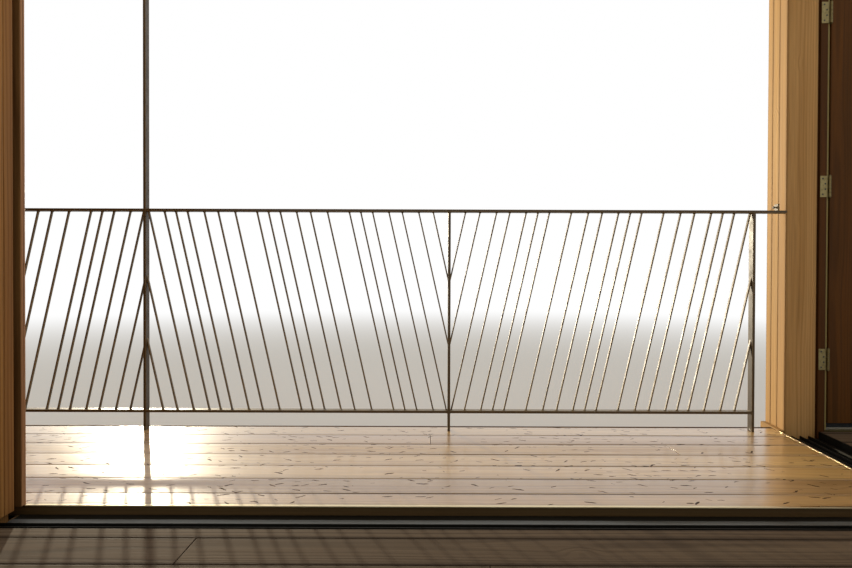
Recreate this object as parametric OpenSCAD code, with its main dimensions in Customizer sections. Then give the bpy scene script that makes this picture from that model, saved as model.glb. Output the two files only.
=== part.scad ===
// Balcony bay of a timber tree house: a deck with a steel railing of leaning pickets,
// recessed sliding door tracks on two sides, and a hinged door beside the corner post.
// Plan datum for the modules: X = 0 at the middle rail post, Y = 0 at the deck's inner edge,
// Z = 0 at the walking surface. The whole is then set on the middle of its base.

/* [Deck] */
// Depth of the balcony, from the door track to the outer face of its fascia
deck_depth = 990; // [900:5:1200]
// Thickness of the deck boards and floor planks
board_t = 38; // [28:1:45]
// Width of a deck board
deck_board_w = 140; // [90:1:190]
// Gap between two deck boards
deck_gap = 5; // [2:0.5:10]
// Gap at the splayed ends of deck boards and floor planks
end_joint = 2; // [1:0.5:5]
// Thickness of the fascia board
fascia_t = 19; // [12:1:30]
// Angle by which both sides of the balcony open out
splay = 5.75; // [0:0.25:10]
// Width of the trim strip beside the foot of a corner post
side_strip_w = 25; // [15:1:40]
// Height of that trim strip above the deck
side_strip_rise = 6; // [2:1:15]

/* [Railing] */
// Distance between rail posts
post_pitch = 1465; // [1300:5:1500]
// Distance from the last rail post to the deck's side, at the inner edge
end_gap = 41; // [20:1:120]
// Height of the top rail above the deck
rail_h = 1067; // [900:1:1200]
// Thickness of the flat bar of rails and posts
bar_t = 12.7; // [8:0.1:20]
// Width of the flat bar of rails and posts
bar_w = 38; // [30:1:60]
// Distance from the outer face of the rail to the outer edge of the deck
rail_setback = 59; // [40:1:70]
// Gap under the bottom rail
bottom_gap = 86; // [50:1:120]
// Thickness of a picket
picket_t = 6.4; // [4:0.1:12]
// Depth of a picket
picket_d = 12.7; // [8:0.1:25]
// Sideways run of a picket over the height of a panel
picket_run = 216; // [100:1:300]

/* [Rail end lugs] */
// Height of the upright lug on the rail
lug_h = 32; // [20:1:45]
// Thickness of the lug
lug_t = 13; // [5:0.5:14]
// Distance of the lug from the post
lug_reach = 34; // [30:1:48]

/* [Floor frame] */
// Depth of a joist
joist_h = 235; // [180:5:290]
// Thickness of a joist
joist_t = 38; // [35:1:60]
// Spacing of the joists
joist_pitch = 406; // [300:1:600]

/* [Room floor] */
// Width of the floor strip beside the inner door track
room_strip_w = 61; // [40:1:120]
// Pitch of the floor planks
plank_pitch = 150; // [120:1:180]
// Joint between two planks
plank_gap = 2; // [1:0.5:5]
// Rows of whole planks behind the strip
plank_rows = 3; // [2:1:6]
// Place of the butt joint in the second row
butt_joint_x = -758; // [-1000:1:-500]

/* [Walls and openings] */
// Thickness of the walls, which is the width of the inner door track
wall_t = 178; // [160:1:220]
// Clear height of the openings
head_h = 2400; // [2350:5:2600]
// Place of the left jamb of the wide opening, left of the middle post
jamb_x = 1404; // [1200:1:1440]
// Thickness of the jamb lining
lining_t = 20; // [12:1:30]
// Width of the slot that the sliding panels close into
slot_w = 28; // [20:1:40]
// Depth of that slot into the wall
slot_d = 60; // [30:1:90]
// Thickness of the outer cladding and trim
cladding_t = 20; // [12:1:25]
// Width of the outer jamb trim
jamb_trim_w = 90; // [60:1:140]
// Gap between the wall's outer face and the deck boards
wall_clear = 3; // [1:1:10]

/* [Door tracks] */
// Width of the door track at the splayed side
side_track_w = 196; // [150:1:230]
// Thickness of the track pans
pan_t = 3; // [2:0.5:6]
// Width of the raised aluminium sill in the inner track
sill_w = 68; // [40:1:90]
// Thickness of that sill
sill_t = 4; // [4:0.5:14]
// Width of a running rib
rib_w = 4; // [3:0.5:8]
// Height of a running rib
rib_h = 18; // [10:1:26]
// Width of the aluminium edge against the deck
edge_w = 10; // [6:1:14]

/* [Posts and beams] */
// Width of the corner post
post_w = 150; // [120:1:180]
// Depth of the corner post's three laminations, from the room outwards
lam_near = 69; // [50:1:90]
// Depth of the middle lamination
lam_mid = 64; // [50:1:90]
// Depth of the outer lamination
lam_far = 51; // [40:1:90]
// Size of the arris taken off each lamination
arris = 2.5; // [1:0.5:6]
// Distance from the deck's outer edge back to the corner post's face
post_back = 85; // [80:1:96]
// Side of the square posts
square_post = 140; // [110:1:150]
// Width of the beams
beam_w = 140; // [110:1:150]
// Height of the beams
beam_h = 240; // [180:5:300]

/* [Door] */
// Width of the door leaf
leaf_w = 823; // [700:1:900]
// Thickness of the door leaf
leaf_t = 44; // [38:1:55]
// Height of the gap under the door leaf
leaf_gap = 41; // [30:1:55]
// Gap round the other sides of the door leaf
leaf_play = 5; // [5:0.5:8]
// Distance from the frame's jamb to the leaf's hanging edge
hang_gap = 15; // [13:1:20]
// Width of the frame's face
frame_w = 35; // [30:1:60]
// Height of the frame's head
frame_head = 42; // [30:1:60]
// Depth of the frame
frame_d = 100; // [80:1:130]
// How far the door stop laps behind the leaf
stop_lap = 12; // [8:1:20]
// Joint between the corner post and the frame's face
frame_joint = 11; // [4:1:20]
// Depth of that joint
joint_d = 10; // [4:1:20]
// Height of the threshold above the floor
threshold_h = 8; // [4:1:15]
// Height of the brush strip under the leaf
sweep_h = 27; // [10:1:27]
// Thickness of the brush strip
sweep_t = 20; // [10:1:30]
// Width of the leaf's stiles and top rail
stile_w = 115; // [90:1:140]
// Height of the leaf's bottom rail
bottom_rail_w = 200; // [150:1:260]
// Height of the leaf's lock rail
lock_rail_w = 150; // [120:1:200]
// Thickness of the leaf's panels
door_panel_t = 20; // [14:1:26]

/* [Door furniture] */
// Height of a hinge
hinge_h = 102; // [75:1:130]
// Thickness of a hinge plate
hinge_t = 3; // [2:0.5:4]
// Radius of a hinge knuckle
knuckle_r = 6; // [5:0.5:7]
// Radius of a hinge pin
pin_r = 3.5; // [2.5:0.5:4]
// Width of a hinge plate beyond its knuckle
hinge_plate_w = 38; // [20:1:38]
// Height of the lowest hinge's centre above the floor
hinge_low = 350; // [250:5:450]
// Distance between the centres of two hinges
hinge_pitch = 834; // [700:1:850]
// Height of the handle above the floor
handle_h = 1020; // [900:5:1100]
// Length of the lever
lever_l = 120; // [90:1:140]
// Radius of the lever
lever_r = 9; // [6:0.5:11]
// Radius of the rose behind the lever
rose_r = 26; // [20:1:32]
// Distance of the lever from the leaf
lever_reach = 48; // [38:1:60]

/* [Hidden] */

deck_color = "#b9ab95";
floor_color = "#8d8070";
frame_color = "#9a7b52";
fir_color = "#c79a5e";
dark_fir_color = "#6b4620";
wall_color = "#8a6138";
trim_color = "#8f5a3c";
steel_color = "#3a2f22";
aluminium_color = "#8d9499";
brass_color = "#7d6c3c";
rubber_color = "#26282a";

// Round faces
pin_fn = 48;

// Small overlap that fuses the solids of one piece
fuse = 2;

// Play between a piece and the slanted face that it is laid against
seat_gap = 0.3;

// Plan: how far the deck's sides move outwards at a distance y from its inner edge
function flare(y) = y * tan(splay);
side_x0 = post_pitch + end_gap;
left_x0 = -2 * post_pitch - end_gap;
function right_side(y) = side_x0 + flare(y);
function left_side(y) = left_x0 - flare(y);

// Corner post: its side face follows the splay, one trim strip away from the deck
post_y = deck_depth - post_back;
function post_side(y) = right_side(y) + side_strip_w;
post_d = lam_near + lam_mid + lam_far;
post_y1 = post_y + post_d;
post_x1 = post_side(post_y) + post_w;
left_post_x0 = left_side(post_y) - side_strip_w - post_w;

// Room floor
room_y1 = -wall_t;
room_y0 = room_y1 - room_strip_w - plank_rows * plank_pitch;

// Door wall
frame_x0 = post_x1 + frame_joint;
jamb_face = frame_x0 + frame_w;
leaf_x0 = jamb_face + hang_gap;
leaf_x1 = leaf_x0 + leaf_w;
frame_x1 = leaf_x1 + leaf_play;
door_post_x0 = frame_x1 + frame_w;
right_x = door_post_x0 + square_post;
leaf_top = head_h - frame_head - leaf_play;
hinge_x = leaf_x0 - knuckle_r + 1;
hinge_y = post_y - knuckle_r;

// Outer size in plan, and the middle that is set on the origin
left_x = min(left_post_x0, left_side(post_y) - wall_t);
mid_x = (left_x + right_x) / 2;
mid_y = (room_y0 + post_y1) / 2;
base_z = -board_t - joist_h;
top_z = head_h + beam_h;

// Railing
rail_y1 = deck_depth - rail_setback;
rail_y0 = rail_y1 - bar_w;
rail_mid_y = (rail_y0 + rail_y1) / 2;
rail_under = rail_h - bar_t;
bottom_rail_z1 = bottom_gap + bar_t;
panel_h = rail_under - bottom_rail_z1;

// Pickets: the first three rise into the bay past its post, then one rhythm repeats
first_picket = -138;
lead_in = [70, 80, 64];
rhythm = [79, 57, 55, 106, 82, 67];
last_rhythm = [81, 56, 55, 76, 79, 69];
picket_gaps = concat(lead_in, rhythm, rhythm, last_rhythm);
function picket_foot(i) = i == 0 ? first_picket : picket_foot(i - 1) + picket_gaps[i - 1];

// Floor frame
board_z = -board_t;
frame_y0 = room_y0 + joist_t;
outer_rim_y1 = deck_depth - fascia_t;
outer_rim_y0 = outer_rim_y1 - joist_t;
corner_rim_y0 = post_y1 - joist_t;

module set_on_base() {
    translate([-mid_x, -mid_y, -base_z]) children();
}

// Box between two corners
module block(low, high) {
    translate(low) cube(high - low);
}

// Flat plan shape, raised from z0 to z1
module slab(points, z0, z1) {
    translate([0, 0, z0]) linear_extrude(z1 - z0) polygon(points);
}

// Rectangle with its corners taken off
function chamfered(low, high) = [
    [low[0] + arris, low[1]], [high[0] - arris, low[1]], [high[0], low[1] + arris],
    [high[0], high[1] - arris], [high[0] - arris, high[1]], [low[0] + arris, high[1]],
    [low[0], high[1] - arris], [low[0], low[1] + arris]
];

// Beam along X with chamfered edges
module beam(low, high) {
    translate([low[0], 0, 0]) rotate([90, 0, 90]) linear_extrude(high[0] - low[0])
        polygon(chamfered([low[1], low[2]], [high[1], high[2]]));
}

// Upright post with chamfered edges
module post(low, high) {
    slab(chamfered([low[0], low[1]], [high[0], high[1]]), low[2], high[2]);
}

// Plan shape of the balcony between two depths, its ends drawn in by a joint
function deck_plan(y0, y1, joint = 0) = [
    [left_side(y0) + joint, y0], [right_side(y0) - joint, y0],
    [right_side(y1) - joint, y1], [left_side(y1) + joint, y1]
];

// Strip along the right side, from a to b outwards of the deck's edge
function side_plan(a, b, y0, y1) = [
    [right_side(y0) + a, y0], [right_side(y0) + b, y0],
    [right_side(y1) + b, y1], [right_side(y1) + a, y1]
];

// The same strip at the left side
function left_side_plan(a, b, y0, y1) = [
    [left_side(y0) - b, y0], [left_side(y0) - a, y0],
    [left_side(y1) - a, y1], [left_side(y1) - b, y1]
];

// Deck, with one board ripped to what is left beside the door track
ripped_min = 40;
deck_pitch = deck_board_w + deck_gap;
deck_rows = floor((outer_rim_y1 - deck_gap - ripped_min) / deck_pitch);
ripped_w = outer_rim_y1 - deck_rows * deck_pitch - deck_gap;

module deck_boards() {
    color(deck_color) set_on_base() {
        slab(deck_plan(0, ripped_w, end_joint), board_z, 0);
        for (i = [0 : deck_rows - 1]) {
            y = ripped_w + deck_gap + i * deck_pitch;
            slab(deck_plan(y, y + deck_board_w, end_joint), board_z, 0);
        }
    }
}

module deck_side_strips() {
    color(fir_color) set_on_base() {
        slab(side_plan(seat_gap, side_strip_w - seat_gap, post_y, post_y1),
             board_z, side_strip_rise);
        slab(left_side_plan(seat_gap, side_strip_w - seat_gap, post_y, post_y1),
             board_z, side_strip_rise);
    }
}

module outer_fascia() {
    color(deck_color) set_on_base()
        slab(deck_plan(outer_rim_y1, deck_depth), base_z, 0);
}

// Room floor
module room_floor_boards() {
    color(floor_color) set_on_base() {
        block([left_x, room_y1 - room_strip_w + plank_gap, board_z], [right_x, room_y1, 0]);
        for (i = [0 : plank_rows - 1]) {
            y1 = room_y1 - room_strip_w - i * plank_pitch;
            y0 = y1 - plank_pitch + (i < plank_rows - 1 ? plank_gap : 0);
            joint_x = butt_joint_x + (i % 2) * 2 * joist_pitch;
            block([left_x, y0, board_z], [joint_x - plank_gap / 2, y1, 0]);
            block([joint_x + plank_gap / 2, y0, board_z], [right_x, y1, 0]);
        }
    }
}

side_rows = ceil((post_y - room_y1) / plank_pitch);

module side_floor_boards() {
    color(floor_color) set_on_base()
        for (i = [0 : side_rows - 1]) {
            y0 = room_y1 + i * plank_pitch + plank_gap;
            y1 = min(y0 + plank_pitch - plank_gap, post_y);
            slab([
                [right_side(max(y0, 0)) + side_track_w + end_joint, y0], [right_x, y0],
                [right_x, y1], [right_side(max(y1, 0)) + side_track_w + end_joint, y1]
            ], board_z, 0);
        }
}

// Floor frame
// One grid starts at the middle, the one under the side room starts at the door's jamb
left_joists = floor((mid_x - left_x - 1.5 * joist_t) / joist_pitch);
right_joists = floor((right_side(post_y) - mid_x - joist_t / 2) / joist_pitch);
side_joists = floor((right_x - jamb_face - 1.5 * joist_t) / joist_pitch);
function left_of_deck(x) = x + joist_t / 2 < left_side(outer_rim_y1);
right_post_joist_x = post_side(post_y) + joist_t / 2;
left_post_joist_x = left_side(post_y) - side_strip_w - joist_t / 2;

module joist(x, y1) {
    block([x - joist_t / 2, frame_y0, base_z], [x + joist_t / 2, y1, board_z]);
}

module floor_joists() {
    color(frame_color) set_on_base() {
        for (i = [-left_joists : right_joists]) {
            x = mid_x + i * joist_pitch;
            if (abs(x - left_post_joist_x) > 2 * joist_t)
                joist(x, left_of_deck(x) ? corner_rim_y0 : outer_rim_y0);
        }
        for (i = [0 : side_joists])
            joist(jamb_face + i * joist_pitch, corner_rim_y0);
        joist(right_post_joist_x, corner_rim_y0);
        joist(left_post_joist_x, corner_rim_y0);
    }
}

// Rims along X: the room's, the deck's, and the two at the outer corners
module rim_joists() {
    color(frame_color) set_on_base() {
        block([left_x, room_y0, base_z], [right_x, frame_y0, board_z]);
        slab(deck_plan(outer_rim_y0, outer_rim_y1), base_z, board_z);
        block([right_side(post_y), corner_rim_y0, base_z], [right_x, post_y1, board_z]);
        block([left_x, corner_rim_y0, base_z], [left_side(post_y), post_y1, board_z]);
    }
}

module end_rim_joists() {
    color(frame_color) set_on_base()
        for (x = [left_x, right_x - joist_t])
            block([x, frame_y0, base_z], [x + joist_t, corner_rim_y0, board_z]);
}

// Door tracks
track_x0 = -jamb_x - lining_t;
near_post_x0 = side_x0 + (side_track_w - square_post) / 2;
wall_y1 = -wall_clear - cladding_t;
near_post_y0 = wall_y1 - square_post;
pan_z = board_z + pan_t;
sill_z = board_z + sill_t;
rib_places = [0.28, 0.5, 0.72];

module near_sill_track() {
    color(aluminium_color) set_on_base() {
        block([track_x0, room_y1, board_z], [side_x0 + side_track_w, 0, pan_z]);
        block([track_x0, -sill_w, board_z], [side_x0, 0, sill_z]);
    }
}

// Three running ribs on the pan
module near_track_ribs() {
    color(aluminium_color) set_on_base()
        for (share = rib_places) {
            y = room_y1 + share * (wall_t - sill_w);
            block([track_x0, y - rib_w / 2, pan_z], [side_x0, y + rib_w / 2, board_z + rib_h]);
        }
}

module side_sill_track() {
    color(aluminium_color) set_on_base() {
        slab(side_plan(0, side_track_w, 0, post_y), board_z, pan_z);
        slab(side_plan(0, edge_w, 0, post_y), board_z, 0);
        slab(side_plan(side_track_w - rib_w, side_track_w, 0, post_y), board_z, 0);
    }
}

module side_track_ribs() {
    color(aluminium_color) set_on_base()
        for (share = rib_places) {
            a = edge_w + share * (side_track_w - edge_w);
            slab(side_plan(a - rib_w / 2, a + rib_w / 2, 0, post_y), pan_z, board_z + rib_h);
        }
}

// Left wall, with the slot for the sliding panels at its end
slot_y1 = wall_y1 - rib_w;
slot_y0 = slot_y1 - slot_w;
wall_end_x = -jamb_x - slot_d;

module left_wall() {
    color(wall_color) set_on_base() {
        block([left_x, room_y1, board_z], [wall_end_x, wall_y1, head_h]);
        block([wall_end_x - fuse, room_y1, board_z], [track_x0, slot_y0, head_h]);
        block([wall_end_x - fuse, slot_y1, 0], [-jamb_x, wall_y1, head_h]);
    }
}

module left_wall_cladding() {
    color(wall_color) set_on_base()
        block([left_side(wall_y1), wall_y1, board_z], [-jamb_x - jamb_trim_w, -wall_clear, head_h]);
}

module left_jamb_lining() {
    color(dark_fir_color) set_on_base()
        block([track_x0, room_y1, 0], [-jamb_x, slot_y0, head_h]);
}

module left_jamb_trim() {
    color(trim_color) set_on_base()
        block([-jamb_x - jamb_trim_w, wall_y1, 0], [-jamb_x, -wall_clear, head_h]);
}

module left_end_wall() {
    color(wall_color) set_on_base()
        slab(left_side_plan(0, wall_t, wall_y1, post_y), board_z, top_z);
}

// One lamination of a corner post, with its arrises taken off where it shows
module lamination(y0, y1) {
    slab([
        [post_side(y0) + arris, y0], [post_x1 - arris, y0],
        [post_x1, y0 + arris], [post_x1, y1 - arris],
        [post_x1 - arris, y1], [post_side(y1) + arris, y1],
        [post_side(y1 - arris), y1 - arris], [post_side(y0 + arris), y0 + arris]
    ], board_z, head_h);
}

module corner_post_inner() {
    color(fir_color) set_on_base() lamination(post_y, post_y + lam_near);
}

module corner_post_core() {
    color(fir_color) set_on_base() lamination(post_y + lam_near, post_y + lam_near + lam_mid);
}

module corner_post_outer() {
    color(fir_color) set_on_base() lamination(post_y1 - lam_far, post_y1);
}

// The left corner post is the right one mirrored, in one piece
module left_corner_post() {
    color(fir_color) set_on_base()
        translate([left_x0 + side_x0, 0, 0]) mirror([1, 0, 0]) {
            lamination(post_y, post_y + lam_near);
            lamination(post_y + lam_near, post_y + lam_near + lam_mid);
            lamination(post_y1 - lam_far, post_y1);
        }
}

module near_right_post() {
    color(fir_color) set_on_base()
        post([near_post_x0, near_post_y0, board_z + pan_t],
             [near_post_x0 + square_post, wall_y1, head_h]);
}

module right_door_post() {
    color(fir_color) set_on_base()
        post([door_post_x0, post_y, board_z], [right_x, post_y1, head_h]);
}

// Beams
module near_head_beam() {
    color(fir_color) set_on_base()
        beam([left_x, wall_y1 - beam_w, head_h], [near_post_x0 + square_post, wall_y1, top_z]);
}

module side_head_beam() {
    inset = (side_track_w - beam_w) / 2;
    color(fir_color) set_on_base()
        slab(side_plan(inset, inset + beam_w, wall_y1, post_y), head_h, top_z);
}

module eaves_beam() {
    color(fir_color) set_on_base()
        beam([left_x, post_y, head_h], [post_x1, post_y + beam_w, top_z]);
}

module door_head_beam() {
    color(fir_color) set_on_base()
        beam([post_x1, post_y, head_h], [right_x, post_y + beam_w, top_z]);
}

// Railing
module rail_post(x, top) {
    color(steel_color) set_on_base()
        block([x - bar_t / 2, rail_y0, 0], [x + bar_t / 2, rail_y1, top]);
}

module rail_post_left() {
    rail_post(-2 * post_pitch, rail_under);
}

module tall_post() {
    rail_post(-post_pitch, head_h);
}

module rail_post_mid() {
    rail_post(0, rail_under);
}

module rail_post_right() {
    rail_post(post_pitch, rail_under);
}

function rail_end(y) = post_side(y) - seat_gap;
function left_rail_end(y) = left_side(y) + seat_gap;

// In two lengths beside the tall post, cut to the splay at the left wall and the corner post
module top_rail() {
    color(steel_color) set_on_base() {
        slab([
            [left_rail_end(rail_y0), rail_y0], [-post_pitch - bar_t / 2, rail_y0],
            [-post_pitch - bar_t / 2, rail_y1], [left_rail_end(rail_y1), rail_y1]
        ], rail_under, rail_h);
        slab([
            [-post_pitch + bar_t / 2, rail_y0], [rail_end(rail_y0), rail_y0],
            [rail_end(rail_y1), rail_y1], [-post_pitch + bar_t / 2, rail_y1]
        ], rail_under, rail_h);
    }
}

// Leaning pickets of one bay, flat in X and Z, from the bay's first post at X = 0
module pickets() {
    width = picket_t / cos(atan(picket_run / panel_h));
    intersection() {
        translate([bar_t / 2, bottom_rail_z1 - fuse])
            square([post_pitch - bar_t, panel_h + fuse]);
        union()
            for (i = [0 : len(picket_gaps)]) {
                foot = picket_foot(i);
                slope = picket_run / panel_h;
                polygon([
                    [foot - width / 2 - fuse * slope, bottom_rail_z1 - fuse],
                    [foot + width / 2 - fuse * slope, bottom_rail_z1 - fuse],
                    [foot + width / 2 + picket_run + fuse * slope, rail_under + fuse],
                    [foot - width / 2 + picket_run + fuse * slope, rail_under + fuse]
                ]);
            }
    }
}

// Stands a flat shape in X and Z up across the rail's middle
module upright(depth) {
    translate([0, rail_mid_y + depth / 2, 0]) rotate([90, 0, 0]) linear_extrude(depth) children();
}

module bottom_rail(x0) {
    block([x0 + bar_t / 2, rail_y0, bottom_gap], [x0 + post_pitch - bar_t / 2, rail_y1, bottom_rail_z1]);
}

// The panel at the left is turned upside down, so its pickets still lean to the right
module rail_panel_1() {
    color(steel_color) set_on_base() union() {
        bottom_rail(-2 * post_pitch);
        upright(picket_d)
            intersection() {
                translate([-post_pitch, bottom_rail_z1 + rail_under - fuse])
                    mirror([1, 0]) mirror([0, 1]) pickets();
                translate([-2 * post_pitch, bottom_rail_z1 - fuse])
                    square([post_pitch, panel_h + fuse]);
            }
    }
}

module rail_panel_2() {
    color(steel_color) set_on_base() union() {
        bottom_rail(-post_pitch);
        upright(picket_d) mirror([1, 0]) pickets();
    }
}

module rail_panel_3() {
    color(steel_color) set_on_base() union() {
        bottom_rail(0);
        upright(picket_d) pickets();
    }
}

// Lug and bolt on the rail's end
module rail_bracket() {
    lug_x = post_side(rail_mid_y) - lug_reach;
    bolt_z = rail_h + lug_h / 2;
    block([lug_x - lug_t, rail_y0, rail_h], [lug_x, rail_y1, rail_h + lug_h]);
    translate([lug_x - 1.9 * lug_t, rail_mid_y, bolt_z]) rotate([0, 90, 0]) {
        cylinder(h = 1.9 * lug_t - 1, r = lug_t * 0.28, $fn = pin_fn);
        cylinder(h = lug_t * 0.48, r = lug_t * 0.52, $fn = 6);
    }
}

module rail_bracket_right() {
    color(steel_color) set_on_base() rail_bracket();
}

module rail_bracket_left() {
    color(steel_color) set_on_base()
        translate([left_x0 + side_x0, 0, 0]) mirror([1, 0, 0]) rail_bracket();
}

// Door
leaf_y1 = post_y + leaf_t;
stop_y0 = leaf_y1 + leaf_play;
frame_y1 = post_y + frame_d;

module door_frame() {
    color(dark_fir_color) set_on_base() {
        // Hanging jamb, with a joint beside the corner post and a stop behind the leaf
        slab([
            [frame_x0, post_y], [jamb_face, post_y], [jamb_face, stop_y0],
            [leaf_x0 + stop_lap, stop_y0], [leaf_x0 + stop_lap, frame_y1], [post_x1, frame_y1],
            [post_x1, post_y + joint_d], [frame_x0, post_y + joint_d]
        ], board_z, head_h - frame_head);
        // Closing jamb
        slab([
            [frame_x1, post_y], [door_post_x0, post_y], [door_post_x0, frame_y1],
            [leaf_x1 - stop_lap, frame_y1], [leaf_x1 - stop_lap, stop_y0], [frame_x1, stop_y0]
        ], board_z, head_h - frame_head);
        // Head
        block([post_x1, post_y, head_h - frame_head], [door_post_x0, frame_y1, head_h]);
    }
}

module door_threshold() {
    color(aluminium_color) set_on_base() {
        block([leaf_x0 + stop_lap, post_y, board_z], [leaf_x1 - stop_lap, post_y1, threshold_h]);
        block([jamb_face, post_y, board_z], [leaf_x0 + stop_lap, stop_y0, threshold_h]);
        block([leaf_x1 - stop_lap, post_y, board_z], [frame_x1, stop_y0, threshold_h]);
    }
}

lock_rail_z0 = handle_h - lock_rail_w / 2;

module door_leaf() {
    panel_sink = (leaf_t - door_panel_t) / 2;
    panels = [
        [leaf_gap + bottom_rail_w, lock_rail_z0],
        [lock_rail_z0 + lock_rail_w, leaf_top - stile_w]
    ];
    color(dark_fir_color) set_on_base()
        difference() {
            block([leaf_x0, post_y, leaf_gap], [leaf_x1, leaf_y1, leaf_top]);
            for (span = panels, y = [post_y - fuse, leaf_y1 - panel_sink])
                block([leaf_x0 + stile_w, y, span[0]],
                      [leaf_x1 - stile_w, y + panel_sink + fuse, span[1]]);
        }
}

module door_sweep() {
    color(rubber_color) set_on_base()
        block([leaf_x0, leaf_y1 - sweep_t, leaf_gap - sweep_h], [leaf_x1, leaf_y1, leaf_gap]);
}

module door_handle() {
    spindle_x = leaf_x1 - stile_w / 2;
    color(brass_color) set_on_base()
        translate([spindle_x, 0, handle_h])
            for (side = [0, 1])
                translate([0, side == 0 ? post_y : leaf_y1, 0]) rotate([side == 0 ? 90 : -90, 0, 0]) {
                    cylinder(h = lever_r, r = rose_r, $fn = pin_fn);
                    cylinder(h = lever_reach, r = lever_r, $fn = pin_fn);
                    translate([0, 0, lever_reach]) rotate([0, -90, 0])
                        cylinder(h = lever_l, r = lever_r, $fn = pin_fn);
                    translate([0, 0, lever_reach]) sphere(r = lever_r, $fn = pin_fn);
                    translate([-lever_l, 0, lever_reach]) sphere(r = lever_r, $fn = pin_fn);
                }
}

// Hinges: five knuckles each, the frame's three hold the pin. The frame's plate lies on its
// face, the door's plate on the leaf's edge
knuckles = 5;
knuckle_play = 0.3;
pin_play = 0.05;
knuckle_h = hinge_h / knuckles;

module knuckle(i) {
    translate([hinge_x, hinge_y, i * knuckle_h + knuckle_play / 2])
        cylinder(h = knuckle_h - knuckle_play, r = knuckle_r, $fn = pin_fn);
}

module at_hinges() {
    for (i = [0 : 2])
        translate([0, 0, hinge_low + i * hinge_pitch - hinge_h / 2]) children();
}

module hinge_frame_leaves() {
    color(brass_color) set_on_base() at_hinges() {
        for (i = [0 : 2 : knuckles - 1]) {
            z0 = i * knuckle_h + knuckle_play / 2;
            knuckle(i);
            block([hinge_x - knuckle_r - hinge_plate_w, post_y - hinge_t, z0],
                  [hinge_x, post_y, z0 + knuckle_h - knuckle_play]);
        }
        block([hinge_x - knuckle_r - hinge_plate_w, post_y - hinge_t, 0],
              [hinge_x - knuckle_r - 1, post_y, hinge_h]);
        translate([hinge_x, hinge_y, 0]) cylinder(h = hinge_h, r = pin_r, $fn = pin_fn);
    }
}

module hinge_door_leaves() {
    color(brass_color) set_on_base() at_hinges()
        difference() {
            union() {
                for (i = [1 : 2 : knuckles - 1]) {
                    z0 = i * knuckle_h + knuckle_play / 2;
                    knuckle(i);
                    block([leaf_x0 - hinge_t, hinge_y, z0],
                          [leaf_x0, post_y + fuse, z0 + knuckle_h - knuckle_play]);
                }
                block([leaf_x0 - hinge_t, post_y + 1, 0],
                      [leaf_x0, post_y + hinge_plate_w, hinge_h]);
            }
            translate([hinge_x, hinge_y, -1])
                cylinder(h = hinge_h + 2, r = pin_r + pin_play, $fn = pin_fn);
        }
}

deck_boards();
deck_side_strips();
outer_fascia();
room_floor_boards();
side_floor_boards();
floor_joists();
rim_joists();
end_rim_joists();
near_sill_track();
near_track_ribs();
side_sill_track();
side_track_ribs();
left_wall();
left_wall_cladding();
left_jamb_lining();
left_jamb_trim();
left_end_wall();
left_corner_post();
near_right_post();
corner_post_inner();
corner_post_core();
corner_post_outer();
near_head_beam();
side_head_beam();
eaves_beam();
door_head_beam();
right_door_post();
top_rail();
rail_panel_1();
rail_panel_2();
rail_panel_3();
rail_post_left();
tall_post();
rail_post_mid();
rail_post_right();
rail_bracket_left();
rail_bracket_right();
door_frame();
door_threshold();
door_leaf();
door_sweep();
door_handle();
hinge_frame_leaves();
hinge_door_leaves();
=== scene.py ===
# %% [markdown]
# # The balcony bay of a tree house
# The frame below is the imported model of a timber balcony: every board, post, rail and hinge at its
# real place and size, in metres. These cells dress it. Each step says what a piece is on the real
# balcony, how it could be made in Blender, and why one way was taken.

# %% Load the frame
import math

import bpy
import numpy as np
from mathutils import Matrix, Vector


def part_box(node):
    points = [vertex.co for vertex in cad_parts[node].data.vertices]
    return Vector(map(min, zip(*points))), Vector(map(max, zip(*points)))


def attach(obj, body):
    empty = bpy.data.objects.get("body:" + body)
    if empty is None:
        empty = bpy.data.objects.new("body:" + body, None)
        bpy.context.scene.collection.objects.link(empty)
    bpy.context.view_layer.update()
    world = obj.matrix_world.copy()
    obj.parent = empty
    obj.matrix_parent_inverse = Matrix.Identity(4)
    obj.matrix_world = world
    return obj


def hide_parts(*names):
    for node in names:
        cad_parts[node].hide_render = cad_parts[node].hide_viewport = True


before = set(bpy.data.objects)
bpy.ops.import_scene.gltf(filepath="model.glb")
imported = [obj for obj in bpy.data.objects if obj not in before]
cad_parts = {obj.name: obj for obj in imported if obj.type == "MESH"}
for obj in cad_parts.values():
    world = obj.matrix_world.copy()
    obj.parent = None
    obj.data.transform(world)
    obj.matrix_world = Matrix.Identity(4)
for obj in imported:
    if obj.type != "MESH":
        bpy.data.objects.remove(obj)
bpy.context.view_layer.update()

# %% [markdown]
# ## Places
# The balcony's two sides open outwards like a fan, so a board's ends are cut at a slant. The two
# edge lines are straight, so one slope and one foot point each are enough to know where any board
# ends. The foot points are read from the frame's own boxes and not typed in again; the slope is given.

# %% The deck's lines
deck_low, deck_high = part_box("deck_boards")
track_low, track_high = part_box("side_sill_track")
walk_z = deck_high.z
inner_y = deck_low.y
splay = math.tan(math.radians(5.75))
end_joint = 0.002
strip_w = 0.025
seat_gap = 0.0003
right_foot = track_low.x
left_foot = deck_low.x + deck_high.x - right_foot
mirror_x = left_foot + right_foot


def right_edge(y):
    """The deck's right side: its foot plus the splay times the distance from the inner edge."""
    return right_foot + splay * (y - inner_y)


def left_edge(y):
    """The deck's left side, which mirrors the right one."""
    return left_foot - splay * (y - inner_y)


print("deck at", round(walk_z, 3), "from", round(left_foot, 3), "to", round(right_foot, 3))

# %% [markdown]
# ## Camera
# The photograph looks straight out over the balcony from low inside the room. One way is to turn
# the camera by eye until lines match. Here its height, its distance and its small tilt come from
# the horizon, the deck's joints and the middle post, so it is placed from the frame.

# %% The eye
eye_left_of_post = 0.112
eye_before_deck = 1.836
eye_above_deck = 0.734
look_down = math.radians(0.535)
roll = math.radians(0.18)

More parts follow.
